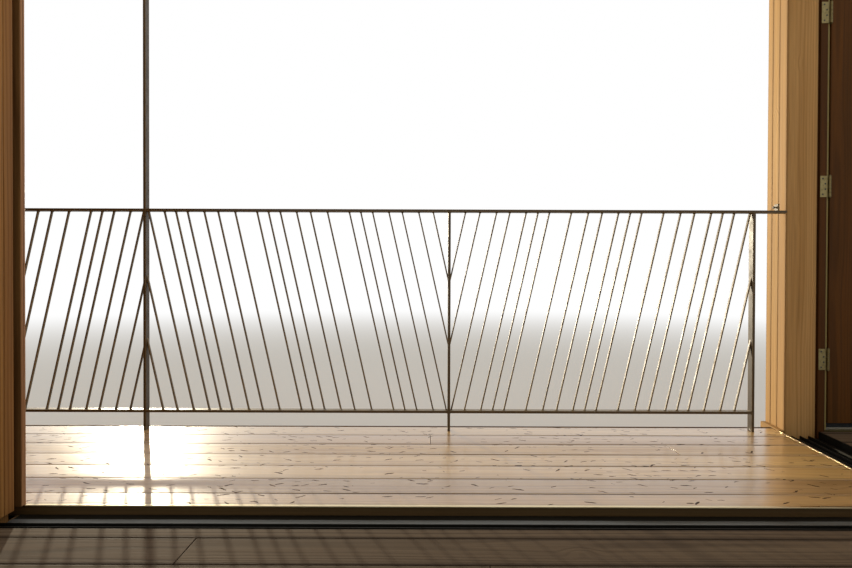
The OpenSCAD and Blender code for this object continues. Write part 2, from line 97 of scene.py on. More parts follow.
post_low, post_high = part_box("rail_post_mid")
eye_data = bpy.data.cameras.new("eye")
eye_data.lens = 24.0
eye_data.sensor_width = 36.0
eye_data.clip_end = 200.0
eye = bpy.data.objects.new("eye", eye_data)
bpy.context.scene.collection.objects.link(eye)
turn = Matrix.Rotation(math.pi / 2 - look_down, 3, "X") @ Matrix.Rotation(roll, 3, "Z")
eye.rotation_euler = turn.to_euler()
eye.location = ((post_low.x + post_high.x) / 2 - eye_left_of_post, inner_y - eye_before_deck,
                walk_z + eye_above_deck)
bpy.context.scene.camera = eye
print("eye at", [round(c, 3) for c in eye.location])

# %% [markdown]
# ## Colours and nodes
# Colours are written as the hex values that a paint card would give. Blender mixes light in linear
# values, so one function turns them. One more function adds a node, sets it and links it, which
# keeps every material below down to its own recipe.

# %% Colour and node helpers
LINEAR_END = 0.04045


def linear(hex_color):
    """sRGB to linear: the low end is divided by 12.92, the rest follows a power of 2.4."""
    srgb = np.array([int(hex_color[i : i + 2], 16) for i in (1, 3, 5)]) / 255
    value = np.where(srgb <= LINEAR_END, srgb / 12.92, ((srgb + 0.055) / 1.055) ** 2.4)
    return (*value.tolist(), 1.0)


def add(tree, kind, *values, **settings):
    """Adds one node with its settings. Values fill the sockets in use in their order, or by name
    from a dict. A node stands for its first output in use, and text is a hex colour."""
    made = tree.nodes.new("ShaderNode" + kind)
    for name, value in settings.items():
        setattr(made, name, value)
    pairs = zip([socket for socket in made.inputs if socket.enabled], values)
    if values and isinstance(values[0], dict):
        pairs = [(made.inputs[name], value) for name, value in values[0].items()]
    for socket, value in pairs:
        if isinstance(value, bpy.types.Node):
            value = next(output for output in value.outputs if output.enabled)
        if isinstance(value, bpy.types.NodeSocket):
            tree.links.new(value, socket)
        else:
            socket.default_value = linear(value) if isinstance(value, str) else value
    return made


def blank(name):
    """A new material with an empty tree."""
    material = bpy.data.materials.new(name)
    material.use_nodes = True
    material.node_tree.nodes.clear()
    return material, material.node_tree


def surface(tree, color, gloss, height, relief, sockets):
    """The end of every recipe: a shader with colour, gloss, bump and its constant sockets."""
    bump = add(tree, "Bump", {"Height": height, "Distance": relief})
    shader = add(tree, "BsdfPrincipled",
                 {"Base Color": color, "Roughness": gloss, "Normal": bump, **sockets})
    add(tree, "OutputMaterial", shader)
    return shader


print("white is", linear("#ffffff")[:3])

# %% [markdown]
# ## Timber
# Every board here is sawn from a trunk, and what the eye reads is where the saw met the year
# rings. A flat picture of grain would repeat on each board. So each board carries its own place
# in an imaginary trunk, written on its mesh as "grain": metres along the board, and metres from
# the pith. The year rings are then the distance from the pith, bent a little by noise, and end
# grain shows up by itself. Real rings are 2 to 4 mm apart, too fine for this camera, so they are
# drawn about three times as wide. Knots are the feet of branches, so they are measured in metres
# from the middle of a long cell, a little longer along the grain and deep towards the pith.

# %% The timber recipe
TURN = 2 * math.pi
KNOT_CELLS = (3.4, 7.0, 7.0)
KNOT_SHAPE = (0.6, 1.0, 0.4)
KNOT_BROWN = "#4a2c14"
EDGE_GRIME = "#2a1d10"


def timber(name, early, late, heart, rough, ring=0.010, knotty=0.0, contrast=0.4,
           edge_dirt=0.2, shine=0.15, relief=0.0004, coat=0.0, coat_rough=0.15, coat_ior=1.5):
    """Softwood: pale early wood and darker late wood in rings, fibres along the grain, knots in
    some cells, and a tone of its own for each board. shine is the share of the mirror light, 0.5
    for a sealed surface and half of that for open pores. Returns the material, its tree, its
    colour, its gloss and its shader, so that a finish can be laid over it."""
    material, tree = blank(name)
    grain = add(tree, "Attribute", attribute_name="grain").outputs["Vector"]
    tone = add(tree, "Attribute", attribute_name="tone").outputs["Fac"]
    edge = add(tree, "Attribute", attribute_name="edge").outputs["Fac"]

    slow = add(tree, "VectorMath", grain, (0.8, 7.0, 7.0), operation="MULTIPLY")
    wander = add(tree, "TexNoise", slow, 1.0, 2.0).outputs["Color"]
    bent = add(tree, "VectorMath", wander, (0.0, 0.035, 0.035), grain, operation="MULTIPLY_ADD")
    flat = add(tree, "VectorMath", bent, (0.0, 1.0, 1.0), operation="MULTIPLY")
    pith = add(tree, "VectorMath", flat, operation="LENGTH")

    cells = add(tree, "VectorMath", grain, KNOT_CELLS, operation="MULTIPLY")
    knot = add(tree, "TexVoronoi", cells, 1.0).outputs
    lot = add(tree, "SeparateColor", knot["Color"]).outputs
    chosen = add(tree, "Math", lot[0], 1.0 - knotty, operation="GREATER_THAN")
    away = add(tree, "VectorMath", cells, knot["Position"], operation="SUBTRACT")
    to_metres = [shape / cell for shape, cell in zip(KNOT_SHAPE, KNOT_CELLS)]
    metres = add(tree, "VectorMath", away, to_metres, operation="MULTIPLY")
    off = add(tree, "VectorMath", metres, operation="LENGTH")
    swirl = add(tree, "MapRange", off, 0.045, 0.0, 0.0, 0.020, interpolation_type="SMOOTHSTEP")
    push = add(tree, "Math", swirl, chosen, pith, operation="MULTIPLY_ADD")

    phase = add(tree, "Math", push, TURN / ring, operation="MULTIPLY")
    wave = add(tree, "Math", phase, operation="SINE")
    dark = add(tree, "MapRange", wave, -0.1, 1.0)
    years = add(tree, "Math", push, 55.0, operation="MULTIPLY")
    season = add(tree, "TexNoise", years, 1.0, 1.0, noise_dimensions="1D")
    ringing = add(tree, "Math", dark, season, operation="MULTIPLY")

    along = add(tree, "VectorMath", grain, (3.0, 190.0, 190.0), operation="MULTIPLY")
    fibre = add(tree, "TexNoise", along, 1.0, 3.0, 0.6)
    broad = add(tree, "VectorMath", grain, (0.9, 14.0, 14.0), operation="MULTIPLY")
    zone = add(tree, "TexNoise", broad, 1.0, 3.0)
    hearty = add(tree, "MapRange", zone, 0.42, 0.68, 0.0, 0.75)

    share = add(tree, "Math", ringing, 2.0 * contrast, operation="MULTIPLY", use_clamp=True)
    warm = add(tree, "Mix", hearty, early, heart, data_type="RGBA")
    ringed = add(tree, "Mix", share, warm, late, data_type="RGBA")
    size = add(tree, "Math", lot[1], 0.009, 0.006, operation="MULTIPLY_ADD")
    core = add(tree, "MapRange", off, size, 0.003, 0.0, 0.85)
    knot_share = add(tree, "Math", core, chosen, operation="MULTIPLY")
    knotted = add(tree, "Mix", knot_share, ringed, KNOT_BROWN, data_type="RGBA")
    streak = add(tree, "MapRange", fibre, 0.25, 0.75, 0.84, 1.12)
    board = add(tree, "MapRange", tone, 0.0, 1.0, 0.86, 1.12)
    value = add(tree, "Math", streak, board, operation="MULTIPLY")
    hue = add(tree, "MapRange", tone, 0.0, 1.0, 0.498, 0.505)
    toned = add(tree, "HueSaturation", {"Hue": hue, "Value": value, "Color": knotted})
    grime = add(tree, "Math", edge, edge_dirt, operation="MULTIPLY")
    color = add(tree, "Mix", grime, toned, EDGE_GRIME, data_type="RGBA")

    gloss = add(tree, "MapRange", fibre, 0.2, 0.8, rough - 0.07, rough + 0.09)
    height = add(tree, "Math", ringing, -0.6, fibre, operation="MULTIPLY_ADD")
    shader = surface(tree, color, gloss, height, relief, {
        "Specular IOR Level": shine, "Coat Weight": coat, "Coat Roughness": coat_rough,
        "Coat IOR": coat_ior})
    return material, tree, color, gloss, shader


print("timber recipe ready")

# %% [markdown]
# ## The deck's finish
# The deck is clear fir under coats of hard varnish. It mirrors the sky, the posts and the rails,
# most of all at a low glance, and shows honey wood between. A coat layer over a rougher base
# gives both. Short dark marks of dirt lie on it in crowds. They could be modelled one by one, but
# they are flat, so each cell of a scatter pattern draws one thin ellipse at its own angle, where
# a slow noise lets it. The marks lie on the varnish, so they take its gloss away too. The boards'
# cut faces are unvarnished, and their colour is darkened to a grey-brown as painted shade, which
# shows under the bright edge along the inner track.

# %% Varnished fir with dirt marks
MARK_CELL = 0.055
MARK_HALF_LENGTH = 0.018
MARK_HALF_WIDTH = 0.0030

deck_fir, tree, color, gloss, shader = timber(
    "varnished_deck_fir", "#d9ab6a", "#ae7d40", "#c39453", rough=0.42, ring=0.011,
    knotty=0.10, contrast=0.3, edge_dirt=0.22, shine=0.25, relief=0.0003, coat=1.0,
    coat_rough=0.235, coat_ior=1.75)
place = add(tree, "TexCoord").outputs["Object"]
shake = add(tree, "TexNoise", place, 38.0, 2.0).outputs["Color"]
moved = add(tree, "VectorMath", shake, (0.016, 0.016, 0.0), place, operation="MULTIPLY_ADD")
flat = add(tree, "VectorMath", moved, (1.0, 1.0, 0.0), operation="MULTIPLY")
scatter = add(tree, "TexVoronoi", flat, 1.0 / MARK_CELL, voronoi_dimensions="2D").outputs
lots = add(tree, "SeparateColor", scatter["Color"]).outputs
away = add(tree, "VectorMath", flat, scatter["Position"], operation="SUBTRACT")
angle = add(tree, "MapRange", lots[0], 0.0, 1.0, -0.8, 0.8)
turned = add(tree, "VectorRotate", {"Vector": away, "Angle": angle}, rotation_type="Z_AXIS")
ellipse = add(tree, "VectorMath", turned, (1 / MARK_HALF_LENGTH, 1 / MARK_HALF_WIDTH, 0.0),
              operation="MULTIPLY")
reach = add(tree, "VectorMath", ellipse, operation="LENGTH")
size = add(tree, "MapRange", lots[1], 0.0, 1.0, 0.35, 1.2)
within = add(tree, "Math", reach, size, operation="LESS_THAN")
drift = add(tree, "TexNoise", place, 4.5, 1.0)
crowd = add(tree, "MapRange", drift, 0.36, 0.62, 0.0, 0.8)
odds = add(tree, "Math", crowd, lots[2], operation="ADD")
kept = add(tree, "Math", odds, 0.86, operation="GREATER_THAN")
up = add(tree, "SeparateXYZ", add(tree, "NewGeometry").outputs["Normal"]).outputs["Z"]
top = add(tree, "MapRange", up, 0.1, 0.4)
drawn = add(tree, "Math", within, kept, operation="MULTIPLY")
mark = add(tree, "Math", drawn, top, operation="MULTIPLY")
# Painted shade: faces that do not face up are darkened most of the way to the dark brown #392b16.
painted_side_shade = add(tree, "MapRange", top, 0.0, 1.0, 0.85, 0.0)
side_shaded_color = add(tree, "Mix", painted_side_shade, color, "#392b16", data_type="RGBA")
soiled = add(tree, "Mix", mark, side_shaded_color, "#3d2411", data_type="RGBA")
varnish = add(tree, "Math", top, mark, operation="SUBTRACT", use_clamp=True)
dulled = add(tree, "Math", gloss, mark, operation="MAXIMUM")
tree.links.new(soiled.outputs[2], shader.inputs["Base Color"])
tree.links.new(varnish.outputs[0], shader.inputs["Coat Weight"])
tree.links.new(dulled.outputs[0], shader.inputs["Roughness"])
print("deck finish:", deck_fir.name)

# %% [markdown]
# ## The other timbers
# The room's planks are grey-brown and worn matt. The floor frame is rough sawn. Walls are oiled
# boards, the door and its frame are stained dark, and the left jamb has a lining of oiled fir
# beside a trim of red cedar. Posts and beams are honey fir with knots. The fascia outside has
# gone a deeper brown in the weather. They share the recipe and differ in colour, gloss and knots.

# %% Timber finishes
floor_planks, *_ = timber("worn_floor_planks", "#6b5843", "#463727", "#594735", 0.8,
                          knotty=0.12, contrast=0.45, edge_dirt=0.7, shine=0.12)
sawn_fir, *_ = timber("rough_sawn_fir", "#b99467", "#8f6a40", "#a67e51", 0.72,
                      knotty=0.3, contrast=0.6, edge_dirt=0.15, shine=0.25, relief=0.0012)
wall_boards, *_ = timber("oiled_wall_boards", "#9f713e", "#714924", "#885b30", 0.6,
                         ring=0.009, knotty=0.3, contrast=0.5, edge_dirt=0.35)
dark_fir, *_ = timber("stained_dark_fir", "#5c3611", "#3a2108", "#4a2c0c", 0.6,
                      ring=0.008, shine=0.12)
lining_fir, *_ = timber("oiled_lining_fir", "#c88c4a", "#8f5c28", "#ac743a", 0.6,
                        ring=0.014, contrast=0.6, edge_dirt=0.3)
red_cedar, *_ = timber("oiled_red_cedar", "#d69f70", "#aa7448", "#c0875a", 0.55,
                       ring=0.007, shine=0.2)
honey_fir, *_ = timber("oiled_honey_fir", "#d6a868", "#a87a42", "#c09254", 0.65,
                       knotty=0.8, edge_dirt=0.25)
fascia_fir, *_ = timber("weathered_fascia_fir", "#a3794a", "#6e4b29", "#8b6439", 0.6,
                        ring=0.012, knotty=0.5, contrast=0.5, edge_dirt=0.4)
print("timbers:", floor_planks.name, wall_boards.name, dark_fir.name, honey_fir.name)

# %% [markdown]
# ## Steel, aluminium, brass and brush
# The railing is mild steel flat bar under dark bronze paint. Paint is not metal to the light: it
# is a dull colour under a soft sheen, rubbed to a warmer brown along the edges, with dust where
# it faces up. The paler edges and the pale dust on top are also painted highlights, on the paint
# and on the other metals. The sill is extruded aluminium, dulled and drawn out in fine lines. The
# pans that the panels run in are the same metal drawn near black, and the edgings are anodised
# pale gold. Hinges and handle are aged brass in patches, the strip under the door is black
# bristle, and a pale rubber seal lies beside the door's leaf.

# %% Metal finishes
# Dust colour for faces that face up, which also serves as a painted highlight on their tops.
DUST_AND_HIGHLIGHT = "#b39f7c"


def metal(name, slot, color, patch_color, edge_wear_and_highlight_color, edge_wear_and_highlight_share, rough, patch_scale,
          patch_from=0.5, metallic=1.0, stretch=(1.0, 1.0, 1.0), dust_and_highlight=0.0, shine=0.5):
    """A metal, paint or rubber: one colour, patches of another where noise passes a level, worn
    edges from the mesh that are lightened as wear and as a painted edge highlight, and dust by how
    far the surface faces up, which is also a painted highlight on the tops. shine is the share of
    the mirror light of a paint, and an unpainted metal keeps 0.5."""
    material, tree = blank(name)
    place = add(tree, "TexCoord").outputs["Object"]
    drawn = add(tree, "VectorMath", place, stretch, operation="MULTIPLY")
    cloud = add(tree, "TexNoise", drawn, patch_scale, 5.0, 0.65)
    patch = add(tree, "MapRange", cloud, patch_from, patch_from + 0.25)
    base = add(tree, "Mix", patch, color, patch_color, data_type="RGBA")
    # Painted highlight: worn edges are lightened towards the edge colour, as wear and as an edge
    # highlight.
    edge = add(tree, "Attribute", attribute_name="edge").outputs["Fac"]
    broken = add(tree, "MapRange", cloud, 0.35, 0.6, 0.2, 1.0)
    worn = add(tree, "Math", edge, broken, operation="MULTIPLY")
    rubbed_and_highlit = add(tree, "Math", worn, edge_wear_and_highlight_share, operation="MULTIPLY")
    edge_worn_and_lit = add(tree, "Mix", rubbed_and_highlit, base, edge_wear_and_highlight_color, data_type="RGBA")
    # Painted highlight: faces that face up are mixed towards the dust colour, as dust and as a
    # highlight.
    up = add(tree, "SeparateXYZ", add(tree, "NewGeometry").outputs["Normal"]).outputs["Z"]
    settled = add(tree, "MapRange", up, 0.5, 1.0, 0.0, dust_and_highlight)
    dusted_and_lit = add(tree, "Mix", settled, edge_worn_and_lit, DUST_AND_HIGHLIGHT, data_type="RGBA")
    gloss = add(tree, "MapRange", cloud, 0.3, 0.7, rough - 0.08, rough + 0.1)
    surface(tree, dusted_and_lit, gloss, cloud, 0.0002, {"Metallic": metallic, "Specular IOR Level": shine})
    return material


DRAWN_LINES = {"patch_scale": 14.0, "patch_from": 0.48, "stretch": (0.15, 1.0, 1.0)}
# The bronze paint's pale dust on top and its light edges are partly painted highlights.
bronze_paint = metal("bronze_painted_steel", "rail_steel", "#4a3a22", "#3a2c17", "#8a7145", 0.7,
                     rough=0.45, patch_scale=22.0, metallic=0.0, dust_and_highlight=0.55, shine=0.35)
champagne_anodised = metal("champagne_anodised_aluminium", "track_aluminium", "#d9c498", "#b7a277",
                           "#efe2c0", 0.5, rough=0.34, dust_and_highlight=0.1,
                           **DRAWN_LINES | {"patch_from": 0.52})
dull_sill = metal("weathered_sill_aluminium", "track_aluminium", "#6e706c", "#53554f", "#a3a8aa",
                  0.4, rough=0.5, dust_and_highlight=0.1, **DRAWN_LINES)
# The track pans and their ribs are drawn near black.
near_black_track_metal = metal("near_black_track_aluminium", "track_aluminium", "#24231f", "#1b1a17", "#3a3832",
                      0.3, rough=0.6, dust_and_highlight=0.03, **DRAWN_LINES)
bronze_anodised = metal("bronze_anodised_aluminium", "track_aluminium", "#3d3523", "#2c2618",
                        "#7a6c42", 0.6, rough=0.45, dust_and_highlight=0.05, **DRAWN_LINES)
aged_brass = metal("aged_brass", "hinge_brass", "#615637", "#433a24", "#9c8d62", 0.6, rough=0.42,
                   patch_scale=60.0)
black_bristle = metal("black_bristle", "sweep_rubber", "#232527", "#33363a", "#3d4044", 0.3,
                      rough=0.75, patch_scale=90.0, metallic=0.0)
steel_screw = metal("plated_screw_steel", None, "#9a958a", "#77705f", "#c7c2b6", 0.4, rough=0.35,
                    patch_scale=120.0)
pale_seal = metal("pale_seal_rubber", None, "#8c7a44", "#776736", "#a3976a", 0.4, rough=0.7,
                  patch_scale=30.0, metallic=0.0, shine=0.2)
print("metals:", bronze_paint.name, champagne_anodised.name, near_black_track_metal.name, aged_brass.name)

# %% [markdown]
# ## One way to make a bar
# Boards, posts, rails and pickets are all the same thing to the eye: a flat outline with eased
# edges, carried along a straight line, with eased ends. A cube with a Bevel modifier would do
# for one, but not for a hundred with slanted ends. Here every bar of a piece is worked out at
# once: the outline is a core line plus a unit normal, so an eased end is the same outline with
# the normal scaled down.

# %% Rounded outlines
def rectangle(a, b, c, d):
    """Corners of one outline, from a to b across and from c to d through."""
    return [(a, c), (b, c), (b, d), (a, d)]


def outline(corners, radius, steps=2, shoulder=0.0, flats=0):
    """Rounds the corners of convex outlines, given counter-clockwise as (bars, corners, 2).
    Each corner's core point lies radius inside both of its sides, and its normals turn from
    one side's to the next. On every flat, shoulder adds a point near both ends, or flats adds
    evenly spaced points. Returns core points, normals, and marks that are 1 on the arcs."""
    corners = np.asarray(corners, float)
    side = np.roll(corners, -1, axis=1) - corners
    side = side / np.linalg.norm(side, axis=2, keepdims=True)
    ahead = np.stack([side[..., 1], -side[..., 0]], axis=2)
    behind = np.roll(ahead, 1, axis=1)
    core = corners - radius * (ahead + behind) / (1 + (ahead * behind).sum(2, keepdims=True))
    first = np.arctan2(behind[..., 1], behind[..., 0])
    sweep = (np.arctan2(ahead[..., 1], ahead[..., 0]) - first) % TURN
    angle = first[..., None] + sweep[..., None] * np.linspace(0, 1, steps + 1)
    normals = np.stack([np.cos(angle), np.sin(angle)], axis=-1)
    cores = np.repeat(core[:, :, None], steps + 1, axis=2)
    span = np.roll(core, -1, axis=1) - core
    reach = np.linalg.norm(span, axis=2, keepdims=True)
    places = [np.full(reach.shape, (i + 1) / (flats + 1)) for i in range(flats)]
    if shoulder:
        places = [shoulder / reach, 1 - shoulder / reach]
    if places:
        between = np.stack([core + share * span for share in places], axis=2)
        cores = np.concatenate([cores, between], axis=2)
        normals = np.concatenate([normals, np.repeat(ahead[:, :, None], len(places), axis=2)], axis=2)
    marks = np.concatenate([np.ones(steps + 1), np.zeros(len(places))])
    count = len(corners)
    return (cores.reshape(count, -1, 2), normals.reshape(count, -1, 2),
            np.tile(marks, corners.shape[1]))


def bars(corners, start, end, radius, lean=0.0, lean_at=0.0, steps=2, shoulder=0.0, flats=0,
         middles=0):
    """Rings of points for bars, (bars, rings, points, 3), as along, across and through. An eased
    end has rings whose normals grow as the sine of an angle while they move in by its cosine.
    start and end are numbers, or functions of the place across for slanted cuts. lean moves a
    bar across by that much for each metre along from lean_at. Also returns the edge marks."""
    cores, normals, edge = outline(corners, radius, steps, shoulder, flats)
    across = cores[..., 0] + radius * normals[..., 0]
    low, high = [
        cut(across) if callable(cut) else np.broadcast_to(np.reshape(cut, (-1, 1)), across.shape)
        for cut in (start, end)
    ]
    angle = np.linspace(math.pi / 6, math.pi / 2, steps + 1)
    swell = np.sin(angle)
    inset = radius * (np.cos(angle[0]) - np.cos(angle))
    share = np.arange(1, middles + 1) / (middles + 1)
    swells = np.concatenate([swell, np.ones(middles), swell[::-1]])[:, None]
    shares = np.concatenate([0 * swell, share, 1 + 0 * swell])[:, None]
    shifts = np.concatenate([inset, inset[-1] * (1 - 2 * share), -inset[::-1]])[:, None]
    along = low[:, None] * (1 - shares) + high[:, None] * shares + shifts
    ring = cores[:, None] + radius * swells[..., None] * normals[:, None]
    slope, lean_from = np.reshape(lean, (-1, 1, 1)), np.reshape(lean_at, (-1, 1, 1))
    across = ring[..., 0] + slope * (along - lean_from)
    return np.stack([along, across, ring[..., 1]], axis=-1), edge


print("a rounded square has", outline([rectangle(0, 1, 0, 1)], 0.1)[0].shape[1], "points")

# %% [markdown]
# ## From rings to a piece
# A stack of rings becomes a mesh by joining each ring's points to the next ring's, with one flat
# face on both ends. The same two functions serve for boards, turned screws and bent levers. The
# grain that the timber recipe reads is written here too: along the bar, and across from a pith
# that lies somewhere below, different for each board, from one seeded random stream.

# %% Rings, pieces and bars
ORDERS = {"x": (0, 1, 2), "y": (1, 2, 0), "z": (2, 0, 1), "yx": (1, 0, 2), "xz": (0, 2, 1)}
SMOOTH_UNDER = math.radians(50)
chance = np.random.default_rng(5380)


def rings_to_mesh(name, rings, flip):
    """Joins point j of ring i with its neighbours, (i, j), (i, j+1), (i+1, j+1), (i+1, j), and
    closes both ends. rings is (bars, rings, points, 3) in metres."""
    index = np.arange(rings[..., 0].size).reshape(rings.shape[:3])
    ring, following = index[:, :-1], index[:, 1:]
    quads = np.stack([ring, np.roll(ring, -1, 2), np.roll(following, -1, 2), following], axis=-1)
    faces = quads.reshape(-1, 4)
    caps = np.concatenate([index[:, 0, ::-1], index[:, -1]])
    if flip:
        faces, caps = faces[:, ::-1], caps[:, ::-1]
    mesh = bpy.data.meshes.new(name)
    mesh.from_pydata(rings.reshape(-1, 3).tolist(), [], faces.tolist() + caps.tolist())
    mesh.polygons.foreach_set("use_smooth", np.ones(len(mesh.polygons), bool))
    mesh.set_sharp_from_angle(angle=SMOOTH_UNDER)
    return mesh


def piece(name, rings, flip, material, replaces, body, fastener=False, **marks):
    """Puts a mesh in the scene: the values that its material reads at each point, the body it
    rides on, and the nodes that it stands for. fastener is not used.
    Weighted normals keep the large flats flat beside round edges."""
    mesh = rings_to_mesh(name, rings, flip)
    for mark, values in marks.items():
        kind, place = ("FLOAT_VECTOR", "vector") if mark == "grain" else ("FLOAT", "value")
        layer = mesh.attributes.new(mark, kind, "POINT")
        layer.data.foreach_set(place, np.asarray(values, np.float32).ravel())
    obj = bpy.data.objects.new(name, mesh)
    bpy.context.scene.collection.objects.link(obj)
    mesh.materials.append(material)
    weighted = obj.modifiers.new("flat_faces_lead", "WEIGHTED_NORMAL")
    weighted.keep_sharp = True
    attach(obj, body)
    if replaces:
        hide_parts(*replaces.split())
    print(f"{name}: {len(rings)} parts, {len(mesh.polygons)} faces")


def to_world(points, axes):
    """Puts along, across and through on the named axes. An order named by two letters turns the
    piece inside out, so its faces are then flipped."""
    world = np.empty_like(points)
    world[..., ORDERS[axes]] = points
    return world, len(axes) > 1


def lay(name, corners, start, end, material, replaces="", axes="x", radius=0.003, body="house",
        bend=None, **shape):
    """Makes one piece from bars: outlines across and through, cut at start and end along the
    first axis. bend may move the points before they are placed. Each bar gets its own grain:
    (along + 0..3 m, across -+ 60 mm, through + 20..110 mm) from the pith."""
    points, edge = bars(corners, start, end, radius, **shape)
    count = len(points)
    middle = points.mean(axis=(1, 2), keepdims=True)
    pith = np.stack([chance.uniform(0, 3, count), chance.uniform(-0.06, 0.06, count),
                     chance.uniform(0.02, 0.11, count)], axis=-1)[:, None, None]
    grain = points - middle * (0, 1, 1) + pith
    tone = np.broadcast_to(chance.random((count, 1, 1)), points.shape[:3])
    worn = np.broadcast_to(edge, points.shape[:3]).copy()
    worn[:, [0, -1]] = 1.0
    if bend:
        points = bend(points, middle)
    piece(name, *to_world(points, axes), material, replaces, body, grain=grain, tone=tone, edge=worn)


print("axes that a bar can run along:", *ORDERS)

# %% Boxes and the frame's solids
def rectangles(boxes, axes="x"):
    """Outlines and cuts of boxes, (boxes, 2, 3), for bars that run along the first axis."""
    ordered = np.asarray(boxes, float)[..., ORDERS[axes]]
    low, high = ordered[:, 0], ordered[:, 1]
    corners = [np.stack([a[:, 1], b[:, 2]], axis=-1) for a, b in rectangle(low, high, low, high)]
    return np.stack(corners, axis=1), low[:, 0], high[:, 0]


def boxed(name, boxes, material, replaces="", axes="x", **rest):
    """Lays bars that fill boxes."""
    lay(name, *rectangles(boxes, axes), material, replaces, axes, **rest)


def split(low, high, axis, count, joint):
    """Cuts one box into equal strips along an axis, each of them one joint short."""
    lines = np.linspace(low[axis], high[axis], count + 1)
    strips = np.array([[low, high]] * count, float)
    strips[:, 0, axis] = lines[:-1]
    strips[:, 1, axis] = lines[1:] - joint
    return strips.tolist()


def points_of(node):
    """Places of a node's points, (points, 3)."""
    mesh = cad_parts[node].data
    places = np.empty(len(mesh.vertices) * 3, np.float32)
    mesh.vertices.foreach_get("co", places)
    return places.reshape(-1, 3)


def solids_of(node):
    """Boxes of a node's separate solids, (solids, 2, 3). Points in one place count as one, and
    each triangle gives its points the lowest label among them until no label changes."""
    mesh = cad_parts[node].data
    mesh.calc_loop_triangles()
    corners = np.empty(len(mesh.loop_triangles) * 3, np.int32)
    mesh.loop_triangles.foreach_get("vertices", corners)
    points, same = np.unique(np.round(points_of(node), 5), axis=0, return_inverse=True)
    corners = same.ravel()[corners.reshape(-1, 3)]
    label = np.arange(len(points))
    settled = False
    while not settled:
        lowest = label.copy()
        np.minimum.at(lowest, corners.ravel(), np.repeat(label[corners].min(axis=1), 3))
        settled = bool((lowest == label).all())
        label = lowest
    groups = [points[label == one] for one in np.unique(label)]
    boxes = np.array([(group.min(axis=0), group.max(axis=0)) for group in groups])
    return boxes[np.lexsort((boxes[:, 0, 0], boxes[:, 0, 1]))]


deck_rows = solids_of("deck_boards")
print("deck rows:", len(deck_rows))

# %% [markdown]
# ## Deck boards
# Seven rows of boards run from side to side, the one beside the track ripped narrow. Two rows
# show a butt joint where two lengths meet. Sawn boards cup a little as they dry and never lie
# quite level, which is what breaks up the mirror of the varnish, so each board is bent across
# its width and rolls slowly along its length.

# %% Deck boards
butt_gap = 0.002
butt_after_board = {4: 1.156, 6: 0.113}
cup = 0.0007
roll_height = 0.0005
roll_turn = 2.1
far_out = 10.0

rows = deck_rows[[0, 1, 2, 3, 4, 4, 5, 5, 6]]
starts = np.full((len(rows), 1), -far_out)
ends = np.full((len(rows), 1), far_out)
for board, butt_x in butt_after_board.items():
    ends[board], starts[board + 1] = butt_x - butt_gap / 2, butt_x + butt_gap / 2
board_cup = np.abs(chance.uniform(-1, 0.6, len(rows)))[:, None, None] * cup
roll_phase = chance.uniform(0, TURN, len(rows))[:, None, None]


def settle(points, middle):
    """Height = a slow sine along the board, less the cup times the square of the place across."""
    along, across, through = np.moveaxis(points, -1, 0)
    off = across - middle[..., 1]
    share = off / np.abs(off).max(axis=(1, 2), keepdims=True)
    wave = roll_height * np.sin(along * roll_turn + roll_phase) * share
    return np.stack([along, across, through - board_cup * share**2 + wave], axis=-1)


lay("deck_planks", rectangles(rows)[0],
    lambda y: np.maximum(left_edge(y) + end_joint, starts),
    lambda y: np.minimum(right_edge(y) - end_joint, ends),
    deck_fir, "deck_boards", radius=0.0018, bend=settle, flats=5, middles=14)

# %% [markdown]
# ## Trim strips and fascia
# A narrow strip closes the deck's side beside the foot of each corner post, and a tall board
# covers the deck's outer edge. The strips run with the splay, so their bars lean by it. The
# fascia is screwed to each joist in a row of three, which gives its long face some scale.

# %% Deck trim
strip_low, strip_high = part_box("deck_side_strips")
strip_in, strip_out = right_foot + seat_gap, right_foot + strip_w - seat_gap
sides_x = ((strip_in, strip_out), (mirror_x - strip_out, mirror_x - strip_in))
lay("deck_side_trim", [rectangle(a, b, strip_low.z, strip_high.z) for a, b in sides_x],
    strip_low.y, strip_high.y, honey_fir, "deck_side_strips", "yx", lean=[splay, -splay],
    lean_at=inner_y)

fascia_low, fascia_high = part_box("outer_fascia")
lay("fascia_board", rectangles([(fascia_low, fascia_high)])[0], left_edge, right_edge, fascia_fir,
    "outer_fascia", shoulder=0.01)

# %% [markdown]
# ## Turned things
# Screws, bolts, pins and the door's rose are bodies of revolution. Each is a profile of places
# along its axis and radii, and one call sets it down at many centres at once.

# %% Turned pieces
SCREW_HEAD = [(-0.004, 0.0015), (-0.004, 0.003), (0.0, 0.0042), (0.0006, 0.004), (0.0009, 0.0028),
              (0.0002, 0.0022), (0.0001, 0.0002)]
FASCIA_SCREW_HEIGHTS = [0.05, 0.135, 0.222]


def turned_piece(name, profile, centres, material, axes, replaces="", body="house", sides=12,
                 worn=0.4, fastener=False):
    """Each ring is centre + (along, radius cos t, radius sin t). centres are (n, 3) in metres."""
    profile = np.asarray(profile, float)
    angle = (np.arange(sides) + 0.5) * TURN / sides
    ring = np.stack([np.cos(angle), np.sin(angle)], axis=-1)
    along = np.broadcast_to(profile[:, None, :1], (len(profile), sides, 1))
    local = np.concatenate([along, profile[:, None, 1:] * ring], axis=-1)
    world, flip = to_world(local[None], axes)
    rings = world + np.asarray(centres, float)[:, None, None]
    piece(name, rings, flip, material, replaces, body, fastener,
          edge=np.full(rings.shape[:3], worn))


